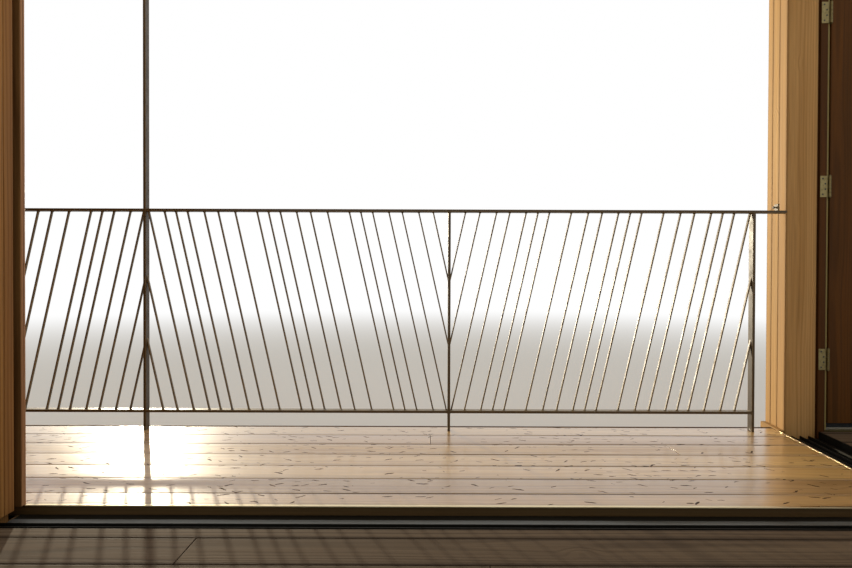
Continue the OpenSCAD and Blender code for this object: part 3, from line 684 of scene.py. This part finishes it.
joists = solids_of("floor_joists")
joist_x = joists[:, :, 0].mean(axis=1)
clear = 0.05
fascia_y = fascia_high.y
under_deck = (joist_x > left_edge(fascia_y) + clear) & (joist_x < right_edge(fascia_y) - clear)
screw_x, screw_z = np.meshgrid(np.unique(joist_x[under_deck].round(3)), FASCIA_SCREW_HEIGHTS)
screws = np.stack([screw_x, 0 * screw_x + fascia_y, screw_z], axis=-1).reshape(-1, 3)
turned_piece("fascia_screws", SCREW_HEAD, screws, steel_screw, "y")

# %% [markdown]
# ## Room floor
# Wide worn planks run across the room behind the inner track, and carry on into the side room,
# where their ends follow the slanted track. The joints between them are dark with dust.

# %% Floor planks
boxed("room_planks", solids_of("room_floor_boards"), floor_planks, "room_floor_boards",
      radius=0.0022, shoulder=0.012)
side_plan, _, side_ends = rectangles(solids_of("side_floor_boards"))
track_w = track_high.x - right_edge(track_high.y)
lay("side_planks", side_plan, lambda y: right_edge(np.maximum(y, inner_y)) + track_w + end_joint,
    side_ends, floor_planks, "side_floor_boards", radius=0.0022, shoulder=0.012)

# %% [markdown]
# ## Floor frame
# Sawn joists on edge between rims carry everything. They are rough, with saw fuzz and knots, and
# the outermost rim under the deck is cut to the splay.

# %% Joists and rims
boxed("joists", joists, sawn_fir, "floor_joists", "y", shoulder=0.01)
rim_boxes = solids_of("rim_joists")
rim_plan, rim_starts, rim_ends = rectangles(rim_boxes)
touching = 0.002
outermost = (np.abs(rim_boxes[:, 1, 1] - fascia_low.y) < touching)[:, None]
lay("rims", rim_plan,
    lambda y: np.where(outermost, left_edge(y), rim_starts[:, None]),
    lambda y: np.where(outermost, right_edge(y), rim_ends[:, None]),
    sawn_fir, "rim_joists", shoulder=0.01)
boxed("end_rims", solids_of("end_rim_joists"), sawn_fir, "end_rim_joists", "y", shoulder=0.01)

# %% [markdown]
# ## Door tracks
# The sliding panels of the wide opening run in a pan with low running ribs, beside a flat sill
# with a small lip. The side opening has a pan with its two edges flush with the floors. A narrow
# aluminium edging guards the deck's cut edge along both, and it is the thin bright line there.
# All are extrusions, so each is a set of bars along one line, screwed down in the pan.

# %% Inner track
pan_t = 0.003
sill_w = 0.048
sill_gap = 0.037
lip_w = 0.005
lip_h = 0.0015
edging_w = 0.013
edging_h = 0.004
edging_proud = 0.0005
near_low, near_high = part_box("near_sill_track")
rib_low, rib_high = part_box("near_track_ribs")
pan_z = near_low.z + pan_t
sill_y = near_high.y - sill_gap
pan = [near_low, (near_high.x, near_high.y, pan_z)]
sill = [(near_low.x, sill_y - sill_w, pan_z), (rib_high.x, sill_y, near_high.z)]
lip = [(near_low.x, sill_y - sill_w - lip_w, pan_z),
       (rib_high.x, sill_y - sill_w, near_high.z + lip_h)]
edging = [(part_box("left_jamb_trim")[1].x, inner_y - edging_w, walk_z - edging_h),
          (right_foot, inner_y, walk_z + edging_proud)]
boxed("inner_track_pan", [pan] + solids_of("near_track_ribs").tolist(), near_black_track_metal,
      "near_sill_track near_track_ribs", radius=0.0009)
boxed("inner_sill", [sill, lip], dull_sill, radius=0.0006)
boxed("inner_track_edging", [edging], champagne_anodised, radius=0.001)

# %% Side track
flush_edge = 0.010
rib_w = 0.004
rib_shares = (0.28, 0.5, 0.72)
rib_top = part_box("side_track_ribs")[1].z
side_pan_z = track_low.z + pan_t
spans = [(0.0, track_w, track_low.z, side_pan_z),
         (track_w - rib_w, track_w, side_pan_z, track_high.z)]
for share in rib_shares:
    middle = flush_edge + share * (track_w - flush_edge)
    spans.append((middle - rib_w / 2, middle + rib_w / 2, side_pan_z, rib_top))
pan_plan = [rectangle(right_foot + a, right_foot + b, c, d) for a, b, c, d in spans]
edge_plan = [rectangle(right_foot, right_foot + flush_edge, side_pan_z, track_high.z)]
splayed = {"axes": "yx", "lean": splay, "lean_at": inner_y}
lay("side_track_pan", pan_plan, track_low.y, track_high.y, near_black_track_metal,
    "side_sill_track side_track_ribs", radius=0.0009, **splayed)
lay("side_track_edge", edge_plan, track_low.y, track_high.y, champagne_anodised, radius=0.0009,
    **splayed)

screw_pitch = 0.3
first_screw = 0.12
screw_from_rib = 0.014
screw_from_deck = 0.035
side_screws_y = (-0.05, 0.25, 0.55)
pan_x = np.arange(near_low.x + first_screw, rib_high.x, screw_pitch).tolist()
pan_screws = [(x, rib_low.y + screw_from_rib, pan_z) for x in pan_x]
pan_screws += [(right_edge(y) + screw_from_deck, y, side_pan_z) for y in side_screws_y]
turned_piece("track_screws", SCREW_HEAD, pan_screws, steel_screw, "z")

# %% [markdown]
# ## Left wall
# The wall beside the opening is boarded inside and clad outside, and its end holds the slot that
# the sliding panels close into. The lining covers its end on the room's side of the slot, the
# cedar trim on the deck's side. The boards could be drawn by a material with lines in it, but
# real gaps between real boards catch the light from every side.

# %% Boarding
BOARD_PITCH = 0.1435
BOARD_JOINT = 0.003


def boarded(low, high):
    """One box cut into courses of boards, each about one pitch high."""
    return split(low, high, 2, round((high[2] - low[2]) / BOARD_PITCH), BOARD_JOINT)


wall_low, wall_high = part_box("left_wall")
lining_low, lining_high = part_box("left_jamb_lining")
trim_low, trim_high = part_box("left_jamb_trim")
inside_t = 0.019
slot_w = 0.028
slot_depth = 0.060
slot_step = 0.004
slot_end = trim_high.x - slot_depth
slot_far = trim_low.y - slot_step
core_y = wall_low.y + inside_t
core = [(wall_low.x, core_y, wall_low.z), (slot_end, wall_high.y, wall_high.z)]
near_web = [(slot_end, core_y, wall_low.z), (lining_low.x, slot_far - slot_w, wall_high.z)]
far_web = [(slot_end, slot_far, lining_low.z), (trim_high.x, wall_high.y, wall_high.z)]
boxed("left_wall_core", [core, near_web, far_web], wall_boards, "left_wall", "z", radius=0.0015)
boxed("left_wall_boards", boarded(wall_low, (lining_low.x, core_y, wall_high.z)), wall_boards,
      axes="xz", radius=0.0035)
boxed("left_wall_cladding_boards", boarded(*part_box("left_wall_cladding")), wall_boards,
      "left_wall_cladding", "xz", radius=0.0045)

# %% Jamb lining and trim
boxed("jamb_lining", split(lining_low, lining_high, 1, 3, joint=0.0015), lining_fir,
      "left_jamb_lining", "z")
boxed("jamb_trim", [(trim_low, trim_high)], red_cedar, "left_jamb_trim", "z", shoulder=0.008)

# %% [markdown]
# ## Left end wall
# The balcony's far left side is closed by a boarded wall that follows the splay. Its boards run
# along that slant on both faces over a hidden core.

# %% End wall
end_low, end_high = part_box("left_end_wall")
end_foot = left_foot - (left_edge(end_high.y) - end_low.x)
skin_t = 0.020
heights = [(bottom[2], top[2]) for bottom, top in boarded(end_low, end_high)]
skins = [(end_foot, end_foot + skin_t, heights),
         (end_foot + skin_t, left_foot - skin_t, [(end_low.z, end_high.z)]),
         (left_foot - skin_t, left_foot, heights)]
lay("end_wall_boards", [rectangle(a, b, c, d) for a, b, rows_z in skins for c, d in rows_z],
    end_low.y, end_high.y, wall_boards, "left_end_wall", radius=0.004,
    **splayed | {"lean": -splay})

# %% [markdown]
# ## Posts and beams
# Each corner post is three laminations glued up, with eased edges that leave two fine grooves
# down its side. The side towards the deck follows the splay. Each lamination is a bar of its own
# with its own grain, because that change of grain is what tells the eye that it is laminated.

# %% Corner posts
LAYER_NODES = "corner_post_inner corner_post_core corner_post_outer"
layers = [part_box(name) for name in LAYER_NODES.split()]
post_z = (layers[0][0].z, layers[0][1].z)
post_face = layers[0][1].x


def post_side(y):
    """The post's side towards the deck stands one strip away from the deck's edge."""
    return right_edge(y) + strip_w


post_plan = [
    [(post_side(low.y), low.y), (post_face, low.y), (post_face, high.y), (post_side(high.y), high.y)]
    for low, high in layers
]
left_plan = [[(mirror_x - x, y) for x, y in plan[::-1]] for plan in post_plan]
eased_post = {"axes": "z", "radius": 0.0035, "shoulder": 0.01}
lay("corner_post", post_plan, *post_z, honey_fir, LAYER_NODES, **eased_post)
lay("left_corner_post_layers", left_plan, *post_z, honey_fir, "left_corner_post", **eased_post)

# %% Square posts and beams
eased_beam = {"radius": 0.004, "shoulder": 0.012}
for node in ("near_right_post", "right_door_post"):
    boxed(node + "_timber", [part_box(node)], honey_fir, node, "z", **eased_beam)
for node in ("near_head_beam", "eaves_beam", "door_head_beam"):
    boxed(node + "_timber", [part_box(node)], honey_fir, node, **eased_beam)
beam_w = 0.140
beam_low, beam_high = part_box("side_head_beam")
beam_out = beam_high.x - right_edge(beam_high.y)
beam_in = beam_out - beam_w
beam_plan = [rectangle(right_foot + beam_in, right_foot + beam_out, beam_low.z, beam_high.z)]
lay("side_head_beam_timber", beam_plan, beam_low.y, beam_high.y, honey_fir, "side_head_beam",
    **eased_beam, **splayed)

# %% [markdown]
# ## Railing
# Flat steel bars on edge make the posts and both rails. Between them stand thin pickets that all
# lean the same way within a bay and the other way in the next, in an uneven rhythm. That rhythm
# is read from the frame's own panels: a picket's two edges are a pair of points under the top
# rail, or on the bottom rail where a post cuts its head off.

# %% Rails and posts
rail_low, rail_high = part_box("top_rail")
tall_low, tall_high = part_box("tall_post")
steel_bar = {"radius": 0.0014, "shoulder": 0.003}
first_length = np.array([[True], [False]])
lay("top_rail_bars", rectangles([(rail_low, rail_high)] * 2)[0],
    lambda y: np.where(first_length, left_edge(y) + seat_gap, tall_high.x),
    lambda y: np.where(first_length, tall_low.x, post_side(y) - seat_gap),
    bronze_paint, "top_rail", **steel_bar)
for node in ("rail_post_left", "tall_post", "rail_post_mid", "rail_post_right"):
    boxed(node + "_bar", [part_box(node)], bronze_paint, node, "z", **steel_bar)

# %% Pickets
PANEL_LEANS = {"rail_panel_1": 1, "rail_panel_2": -1, "rail_panel_3": 1}
picket_run = 0.216
picket_half_depth = 0.00635
weld_clear = 0.008
flat_depth = 0.01
level_slack = 0.0004
narrowest_picket = 0.0055
widest_picket = 0.0078
apart = 0.004
bar_t = rail_high.z - rail_low.z
rail_mid_y = (rail_low.y + rail_high.y) / 2


def picket_lines(node, lean, foot, head):
    """Centres of a panel's pickets at half height, and half their width. A pair of points at the
    foot or the head, moved along the lean to half height, is one picket."""
    places = points_of(node)
    thin = places[np.abs(places[:, 1] - rail_mid_y) < flat_depth]
    centres = []
    for level in (foot, head):
        edges = np.unique(thin[np.abs(thin[:, 2] - level) < level_slack][:, 0].round(4))
        gaps = np.diff(edges)
        pair = np.flatnonzero((gaps > narrowest_picket) & (gaps < widest_picket))
        middle = (edges[pair] + edges[pair + 1]) / 2
        centres.append(middle + lean * ((foot + head) / 2 - level))
        half = gaps[pair].mean() / 2
    found = np.sort(np.concatenate(centres))
    return found[np.concatenate([[True], np.diff(found) > apart])], half


def panel(node, sign):
    """Lays a panel's pickets and its bottom rail. A picket's line runs from the bottom rail to
    the top rail, or from or to the face of a post. Returns where pickets meet the rails, as one
    array for their feet and one for their heads."""
    low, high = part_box(node)
    foot, head = low.z + bar_t, high.z
    middle = (foot + head) / 2
    lean = sign * picket_run / (head - foot)
    centres, half = picket_lines(node, lean, foot, head)
    spans = zip((centres - half).tolist(), (centres + half).tolist())
    depth = (rail_mid_y - picket_half_depth, rail_mid_y + picket_half_depth)
    lay(node + "_pickets", [rectangle(a, b, *depth) for a, b in spans],
        lambda x: np.maximum(foot, middle + np.minimum((low.x - x) / lean, (high.x - x) / lean)),
        lambda x: np.minimum(head, middle + np.maximum((low.x - x) / lean, (high.x - x) / lean)),
        bronze_paint, node, "z", radius=0.0008, steps=1, lean=lean, lean_at=middle)
    boxed(node + "_bottom_rail", [(low, (high.x, high.y, foot))], bronze_paint, **steel_bar)
    ends = [centres + lean * (level - middle) for level in (foot, head)]
    return [at[(at > low.x + weld_clear) & (at < high.x - weld_clear)] for at in ends]


feet, heads = zip(*[panel(node, sign) for node, sign in PANEL_LEANS.items()])

# %% [markdown]
# ## Welds
# Every picket is welded to both rails, and so are the posts. A weld is a small swollen bead in
# the corner. Rounded bars a few millimetres thick do for them, set in rows.

# %% Weld beads
bead = 0.0035
bead_half_length = 0.0058
picket_cheek = 0.0042
weld_half = 0.002
weld_inset = 0.004
weld_proud = 0.001
rail_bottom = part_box("rail_panel_3")[0].z
rail_top = rail_bottom + bar_t


def beads(name, x, bottom, top):
    """Beads along Y at both cheeks of each picket, between two heights."""
    x = np.concatenate([x - picket_cheek, x + picket_cheek])
    low = np.stack([x - bead / 2, 0 * x + rail_mid_y - bead_half_length, 0 * x + bottom], 1)
    high = np.stack([x + bead / 2, 0 * x + rail_mid_y + bead_half_length, 0 * x + top], 1)
    boxed(name, np.stack([low, high], axis=1), bronze_paint, axes="y", radius=0.0016, steps=1)


beads("picket_foot_welds", np.concatenate(feet), rail_top, rail_top + bead)
beads("picket_head_welds", np.concatenate(heads), rail_low.z - bead, rail_low.z)
short_posts = [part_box(node) for node in ("rail_post_left", "rail_post_mid", "rail_post_right")]
post_x = np.array([(low.x + high.x) / 2 for low, high in short_posts])
cheeks = np.concatenate([post_x - bar_t / 2 - weld_proud, post_x + bar_t / 2 + weld_proud])
weld_z = (rail_low.z - weld_proud, rail_top + weld_proud / 2, rail_top - bar_t - weld_proud / 2)
rail_welds = [
    [(x - weld_half, rail_low.y + weld_inset, z - weld_half),
     (x + weld_half, rail_high.y - weld_inset, z + weld_half)]
    for x in cheeks.tolist() for z in weld_z
]
boxed("post_welds", rail_welds, bronze_paint, axes="y", radius=0.0018)

# %% [markdown]
# ## Rail lugs
# Near each corner post a lug stands on the top rail, with a bolt through it. Its round head and
# square lug are small, but they break the rail's straight line against the bright post.

# %% Lugs and bolts
LUG_T = 0.008
LUG_DEPTH = 0.030
LUG_REACH = 0.039
BOLT_OUT = 0.0117
BOLT = [(-0.0005, 0.0001), (0.0, 0.006), (0.0008, 0.0068), (0.0055, 0.0068), (0.0062, 0.006),
        (0.0062, 0.0036), (0.0177, 0.0036), (0.0177, 0.0001)]
for node, side in (("rail_bracket_right", 1), ("rail_bracket_left", -1)):
    lug_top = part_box(node)[1].z
    face = post_side(rail_mid_y) if side > 0 else mirror_x - post_side(rail_mid_y)
    lug_x = face - side * (LUG_REACH + LUG_T / 2)
    lug = [(lug_x - LUG_T / 2, rail_low.y, rail_high.z),
           (lug_x + LUG_T / 2, rail_low.y + LUG_DEPTH, lug_top)]
    boxed(node + "_lug", [lug], bronze_paint, node, "z", radius=0.0012)
    profile = BOLT if side > 0 else [(-a, r) for a, r in BOLT[::-1]]
    centre = (lug_x - side * (LUG_T / 2 + BOLT_OUT), rail_mid_y, (rail_high.z + lug_top) / 2)
    turned_piece(node + "_bolt", profile, [centre], bronze_paint, "x", sides=6, worn=0.1,
                 fastener=True)

# %% [markdown]
# ## Door frame
# The hinged door stands beside the corner post. Its frame is a jamb on each side, a head, and
# stops nailed on behind the leaf, with a dark packed joint beside the post. A pale seal lies in
# the gap between jamb and leaf, and it is the brightest line of the whole door in the photograph.
# The threshold is an extruded plate with ridges underfoot.

# %% Frame and seal
frame_low, frame_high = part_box("door_frame")
leaf_low, leaf_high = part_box("door_leaf")
sill_low, sill_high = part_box("door_threshold")
jamb = 0.035
head_h = 0.042
play = 0.005
lap = 0.012
packed = 0.011
packing_inset = 0.010
seal_w = 0.010
seal_inset = 0.004
closed_gap = 0.001
hang = frame_low.x + packed + jamb
post_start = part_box("right_door_post")[0].x
close = post_start - jamb
lap_in, lap_out = leaf_low.x + lap, leaf_high.x - lap
stop_y = leaf_high.y + play
under_head = frame_high.z - head_h
eased_frame = {"radius": 0.0025, "shoulder": 0.008}

jamb_spans = [(hang - jamb, hang, frame_low.y), (hang, lap_in, stop_y),
              (close, post_start, frame_low.y), (lap_out, close, stop_y)]
jambs = [[(a, y, frame_low.z), (b, frame_high.y, under_head)] for a, b, y in jamb_spans]
boxed("door_jambs", jambs, dark_fir, "door_frame", "z", **eased_frame)
head_parts = [[(frame_low.x, frame_low.y, under_head), frame_high],
              [(lap_in, stop_y, under_head - lap), (lap_out, frame_high.y, under_head)]]
boxed("door_frame_head", head_parts, dark_fir, **eased_frame)
packing = [(frame_low.x, frame_low.y + packing_inset, frame_low.z),
           (hang - jamb, frame_high.y, under_head)]
boxed("packed_joint", [packing], dark_fir, axes="z", radius=0.001)
seal_y = frame_low.y + seal_inset
hanging_seal = [(hang, seal_y, sill_high.z), (hang + seal_w, seal_y + seal_w, under_head)]
closing_seal = [(leaf_high.x + closed_gap, stop_y - seal_inset, sill_high.z),
                (close, stop_y, under_head)]
boxed("jamb_seals", [hanging_seal, closing_seal], pale_seal, axes="z", radius=0.0018)

# %% Threshold
ridge_half = 0.004
ridge_h = 0.003
ridge_margin = 0.012
plate_drop = 0.0025
ridge_y = np.linspace(sill_low.y + ridge_margin, sill_high.y - ridge_margin, 12).tolist()
plates = [[(lap_in, sill_low.y, sill_low.z), (lap_out, sill_high.y, sill_high.z - plate_drop)],
          [(hang, sill_low.y, sill_low.z), (lap_in, stop_y, sill_high.z)],
          [(lap_out, sill_low.y, sill_low.z), (close, stop_y, sill_high.z)]]
ridges = [[(lap_in, y - ridge_half, sill_high.z - ridge_h), (lap_out, y + ridge_half, sill_high.z)]
          for y in ridge_y]
boxed("threshold_plate", plates + ridges, bronze_anodised, "door_threshold", radius=0.0012)

# %% [markdown]
# ## Door leaf
# The leaf is built up as a joiner would: two stiles, three rails, and boarded panels with a
# small moulding round each. A single slab with a line drawn on it would have no shadow in its
# joints when the door swings.

# %% Leaf
stile = 0.115
bottom_rail_w = 0.200
lock_rail_half = 0.075
lock_height = 1.020
sill_under_leaf = 0.008
tenon = 0.0004
panel_t = 0.020
bead_w = 0.012
bead_inset = 0.003
lock_z = sill_high.z - sill_under_leaf + lock_height
levels = [(leaf_low.z, leaf_low.z + bottom_rail_w), (lock_z - lock_rail_half, lock_z + lock_rail_half),
          (leaf_high.z - stile, leaf_high.z)]
openings = [(levels[0][1], levels[1][0]), (levels[1][1], levels[2][0])]
left_x, right_x = leaf_low.x + stile, leaf_high.x - stile
mid_y = (leaf_low.y + leaf_high.y) / 2
panel_in, panel_out = mid_y - panel_t / 2, mid_y + panel_t / 2

stiles = [[leaf_low, (left_x, leaf_high.y, leaf_high.z)], [(right_x, leaf_low.y, leaf_low.z), leaf_high]]
boxed("leaf_stiles", stiles, dark_fir, "door_leaf", "z", radius=0.0022, shoulder=0.01, body="door")
rails = [[(left_x + tenon, leaf_low.y, a), (right_x - tenon, leaf_high.y, b)] for a, b in levels]
boxed("leaf_rails", rails, dark_fir, radius=0.0016, shoulder=0.01, body="door")
panel_boards = [
    board
    for bottom, top in openings
    for board in split((left_x, panel_in, bottom), (right_x, panel_out, top), 0, 5, joint=0.0012)
]
boxed("leaf_panels", panel_boards, dark_fir, axes="z", body="door")
sunk = [(leaf_low.y + bead_inset, panel_in), (panel_out, leaf_high.y - bead_inset)]
fields = [(*opening, *depth) for opening in openings for depth in sunk]
upright_beads = [[(x, y0, bottom), (x + bead_w, y1, top)]
                 for bottom, top, y0, y1 in fields for x in (left_x, right_x - bead_w)]
level_beads = [[(left_x + bead_w, y0, z), (right_x - bead_w, y1, z + bead_w)]
               for bottom, top, y0, y1 in fields for z in (bottom, top - bead_w)]
boxed("leaf_beads_upright", upright_beads, dark_fir, axes="z", radius=0.004, body="door")
boxed("leaf_beads_level", level_beads, dark_fir, radius=0.004, body="door")

# %% [markdown]
# ## Brush strip
# The gap under the leaf is closed by a strip of bristle in a black carrier. Its lower edge is a
# row of separate tufts, so it reads as a brush from close by.

# %% Sweep
sweep_low, sweep_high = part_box("door_sweep")
tuft_w = 0.0036
tuft_pitch = 0.0045
tuft_margin = 0.002
carrier_h = 0.009
tuft_top = sweep_high.z - carrier_h
carrier = [(sweep_low.x, sweep_low.y, tuft_top), sweep_high]
boxed("sweep_carrier", [carrier], black_bristle, "door_sweep", radius=0.0012, body="door")
tuft_x = np.arange(sweep_low.x + tuft_margin, sweep_high.x - tuft_margin, tuft_pitch)
tufts = [
    tuft
    for x in tuft_x[tuft_x + tuft_w < sweep_high.x].tolist()
    for tuft in split((x, sweep_low.y + tuft_margin, sweep_low.z),
                      (x + tuft_w, sweep_high.y - tuft_margin, tuft_top), 1, 3, joint=0.001)
]
boxed("sweep_bristles", tufts, black_bristle, axes="z", radius=0.001, steps=1, body="door")

# %% [markdown]
# ## Handle
# A lever on a round rose, one on each face of the leaf. The rose is turned. The lever is one
# round bar carried along a bent path: straight out from the leaf, a tight bend, then level.

# %% Handle
handle_low, handle_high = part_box("door_handle")
spindle_x = leaf_high.x - stile / 2
spindle_z = (handle_low.z + handle_high.z) / 2
lever_r = 0.009
lever_l = 0.120
lever_slim = 0.92
reach_out = 0.048
bend_r = 0.016
out_of_rose = 0.008
before_tip = 0.005
almost_closed = 0.98
ROSE = [(0.0, 0.026), (0.004, 0.026), (0.007, 0.024), (0.009, 0.019), (0.0092, 0.012),
        (0.0100, 0.0115), (0.0102, 0.0001)]

arc = np.linspace(0, math.pi / 2, 9)
tip_arc = arc[3:]
bend_at = reach_out - bend_r
straight = np.stack([np.zeros(4), np.linspace(out_of_rose, bend_at, 4)], axis=1)
bent = np.stack([bend_r * (np.cos(arc) - 1), bend_at + bend_r * np.sin(arc)], axis=1)
grip = np.stack([np.linspace(-bend_r, -lever_l - before_tip, 8), np.full(8, reach_out)], axis=1)
tip = np.stack([-lever_l - lever_r * np.sin(tip_arc), np.full(6, reach_out)], axis=1)
lever = np.concatenate([straight, bent[1:], grip[1:], tip])
radii = np.full(len(lever), lever_r)
radii[-6:] = lever_r * np.cos(tip_arc * almost_closed)


def carried(name, path, radii, flip, sides=16):
    """Ring i is path_i + radius_i (cos t n_i + sin t z), with n_i square to the path in plan."""
    ahead = np.gradient(path, axis=0)
    ahead = ahead / np.linalg.norm(ahead, axis=1, keepdims=True)
    square = np.stack([-ahead[:, 1], ahead[:, 0], 0 * ahead[:, 0]], axis=1)
    angle = np.arange(sides)[:, None] * TURN / sides
    spread = np.cos(angle) * square[:, None] + np.sin(angle) * (0.0, 0.0, 1.0)
    rings = (path[:, None] + radii[:, None, None] * spread)[None]
    piece(name, rings, flip, aged_brass, "", "door", edge=np.full(rings.shape[:3], 0.5))


for label, face_y, out in (("room", leaf_low.y, -1), ("outside", leaf_high.y, 1)):
    rose = [(out * height, radius) for height, radius in ROSE][::out]
    turned_piece(f"handle_rose_{label}", rose, [(spindle_x, face_y, spindle_z)], aged_brass, "y",
                 "door_handle" if out < 0 else "", "door", sides=40)
    path = np.stack([spindle_x + lever[:, 0], face_y + out * lever[:, 1],
                     np.full(len(lever), spindle_z)], axis=1)
    carried(f"handle_lever_{label}", path, radii * lever_slim, flip=out > 0)

# %% [markdown]
# ## Hinges
# Three butt hinges. Each has five knuckles on one pin: the frame's leaf holds three and the
# door's leaf two, so they ride on different bodies. The frame's plates lie on its face, where
# the photograph shows their screws, and the door's plates lie on the leaf's edge, out of sight
# until it opens. The pin has a small turned tip at both ends.

# %% Hinge plates
hinge_low, hinge_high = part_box("hinge_frame_leaves")
edge_low, edge_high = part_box("hinge_door_leaves")
FRAME_HELD = (0, 2, 4)
DOOR_HELD = (1, 3)
knuckle_r = 0.006
knuckle_play = 0.0003
hinge_t = 0.003
hinge_h = 0.102
knuckle_h = hinge_h / 5
hinge_x = edge_low.x + knuckle_r
hinge_y = hinge_high.y - knuckle_r
hinge_z = [hinge_low.z, (hinge_low.z + hinge_high.z - hinge_h) / 2, hinge_high.z - hinge_h]
plate_gap = 0.001
plate_lap = 0.002
plate_end = hinge_x - knuckle_r - plate_gap
face_y = hinge_high.y
plate_y = face_y - hinge_t
plate_x = leaf_low.x - hinge_t


def knuckle_heights(held):
    """Bottoms and tops of the held knuckles of all hinges, with a little play."""
    return [
        (z + i * knuckle_h + knuckle_play, z + (i + 1) * knuckle_h - knuckle_play)
        for z in hinge_z for i in held
    ]


frame_plates = [[(hinge_low.x, plate_y, z), (plate_end, face_y, z + hinge_h)] for z in hinge_z]
frame_plates += [[(plate_end - plate_gap, plate_y, bottom), (hinge_x, face_y, top)]
                 for bottom, top in knuckle_heights(FRAME_HELD)]
door_plates = [[(plate_x, face_y + plate_gap, z), (leaf_low.x, edge_high.y, z + hinge_h)]
               for z in hinge_z]
door_plates += [[(plate_x, hinge_y, bottom), (leaf_low.x, face_y + plate_lap, top)]
                for bottom, top in knuckle_heights(DOOR_HELD)]
boxed("hinge_plates_frame", frame_plates, aged_brass, "hinge_frame_leaves", "z", radius=0.0007,
      steps=1)
boxed("hinge_plates_door", door_plates, aged_brass, "hinge_door_leaves", "z", radius=0.0007,
      steps=1, body="door")

# %% Knuckles, tips and screws
KNUCKLE_END = [(0.0002, 0.002), (0.0003, 0.0052), (0.0009, knuckle_r)]
TIP = [(-0.0055, 0.0002), (-0.005, 0.0026), (-0.0035, 0.0042), (-0.002, 0.0035), (-0.001, 0.005),
       (0.0, 0.0052)]
SCREW_ROWS = ((-0.006, 0.013), (0.006, 0.038), (0.006, 0.064), (-0.006, 0.089))
knuckle = KNUCKLE_END + [(knuckle_h - height, radius) for height, radius in KNUCKLE_END[::-1]]
tip_top = [(hinge_h - height, radius) for height, radius in TIP[::-1]]
screw_out = [(-0.7 * height, radius) for height, radius in SCREW_HEAD[::-1]]
frame_middle = (hinge_low.x + plate_end) / 2
door_middle = (face_y + edge_high.y) / 2
frame_heads = [(frame_middle + d, plate_y, z + dz) for z in hinge_z for d, dz in SCREW_ROWS]
door_heads = [(plate_x, door_middle + d, z + dz) for z in hinge_z for d, dz in SCREW_ROWS]
halves = (("house", FRAME_HELD, frame_heads, "y"), ("door", DOOR_HELD, door_heads, "x"))
for body, held, screw_heads, axis in halves:
    centres = [(hinge_x, hinge_y, z + i * knuckle_h) for z in hinge_z for i in held]
    turned_piece(f"hinge_knuckles_{body}", knuckle, centres, aged_brass, "z", body=body, sides=24)
    turned_piece(f"hinge_screws_{body}", screw_out, screw_heads, black_bristle, axis, body=body,
                 fastener=True)
pins = [(hinge_x, hinge_y, z) for z in hinge_z]
turned_piece("hinge_tips_low", TIP, pins, aged_brass, "z", sides=20)
turned_piece("hinge_tips_high", tip_top, pins, aged_brass, "z", sides=20)

# %% [markdown]
# ## Light
# The photograph is taken against a bright sky with a low sun to the left, so faces towards the
# camera are dim and everything that faces the sky glows. The backdrop is plain white to the
# camera and in mirrors. The ambient light is weaker from the room's side than from the sky's,
# and one soft low sun gives the post its lit side and lays the rail's shadow on the deck.

# %% World, sun and floor
ROOM_SIDE = 0.38
SKY_SIDE = 0.70
SUN_FROM_LEFT = math.radians(26.5)
SUN_HEIGHT = math.radians(6.5)

world = bpy.data.worlds.new("studio")
bpy.context.scene.world = world
world.use_nodes = True
tree = world.node_tree
tree.nodes.clear()
kind = add(tree, "LightPath").outputs
seen = add(tree, "Math", kind["Is Camera Ray"], kind["Is Glossy Ray"], operation="MAXIMUM")
seen = add(tree, "Math", seen, kind["Is Transmission Ray"], operation="MAXIMUM")
toward = add(tree, "SeparateXYZ", add(tree, "TexCoord").outputs["Generated"]).outputs["Y"]
ambient = add(tree, "MapRange", toward, -1.0, 1.0, ROOM_SIDE, SKY_SIDE)
strength = add(tree, "MapRange", seen, 0.0, 1.0, ambient, 1.0)
add(tree, "OutputWorld", add(tree, "Background", "#ffffff", strength))

sun_data = bpy.data.lights.new("low_sun", "SUN")
sun_data.energy = 3.1
sun_data.angle = math.radians(0.9)
sun_data.color = linear("#fff0d2")[:3]
sun = bpy.data.objects.new("low_sun", sun_data)
bpy.context.scene.collection.objects.link(sun)
sun.rotation_euler = (-(math.pi / 2 - SUN_HEIGHT), 0.0, SUN_FROM_LEFT)

floor_material, tree = blank("pale_floor")
place = add(tree, "TexCoord").outputs["Object"]
distance = add(tree, "VectorMath", place, operation="LENGTH")
fade = add(tree, "MapRange", distance, 4.5, 17.0, interpolation_type="SMOOTHSTEP")
matt = add(tree, "BsdfDiffuse", "#ebe8e2")
glow = add(tree, "Emission", "#ffffff", 1.0)
add(tree, "OutputMaterial", add(tree, "MixShader", fade, matt, glow))
bpy.ops.mesh.primitive_circle_add(vertices=96, radius=60.0, fill_type="NGON")
ground = bpy.context.object
ground.name = "ground"
ground.data.materials.append(floor_material)
bpy.context.scene.view_settings.view_transform = "Standard"
print("light set")
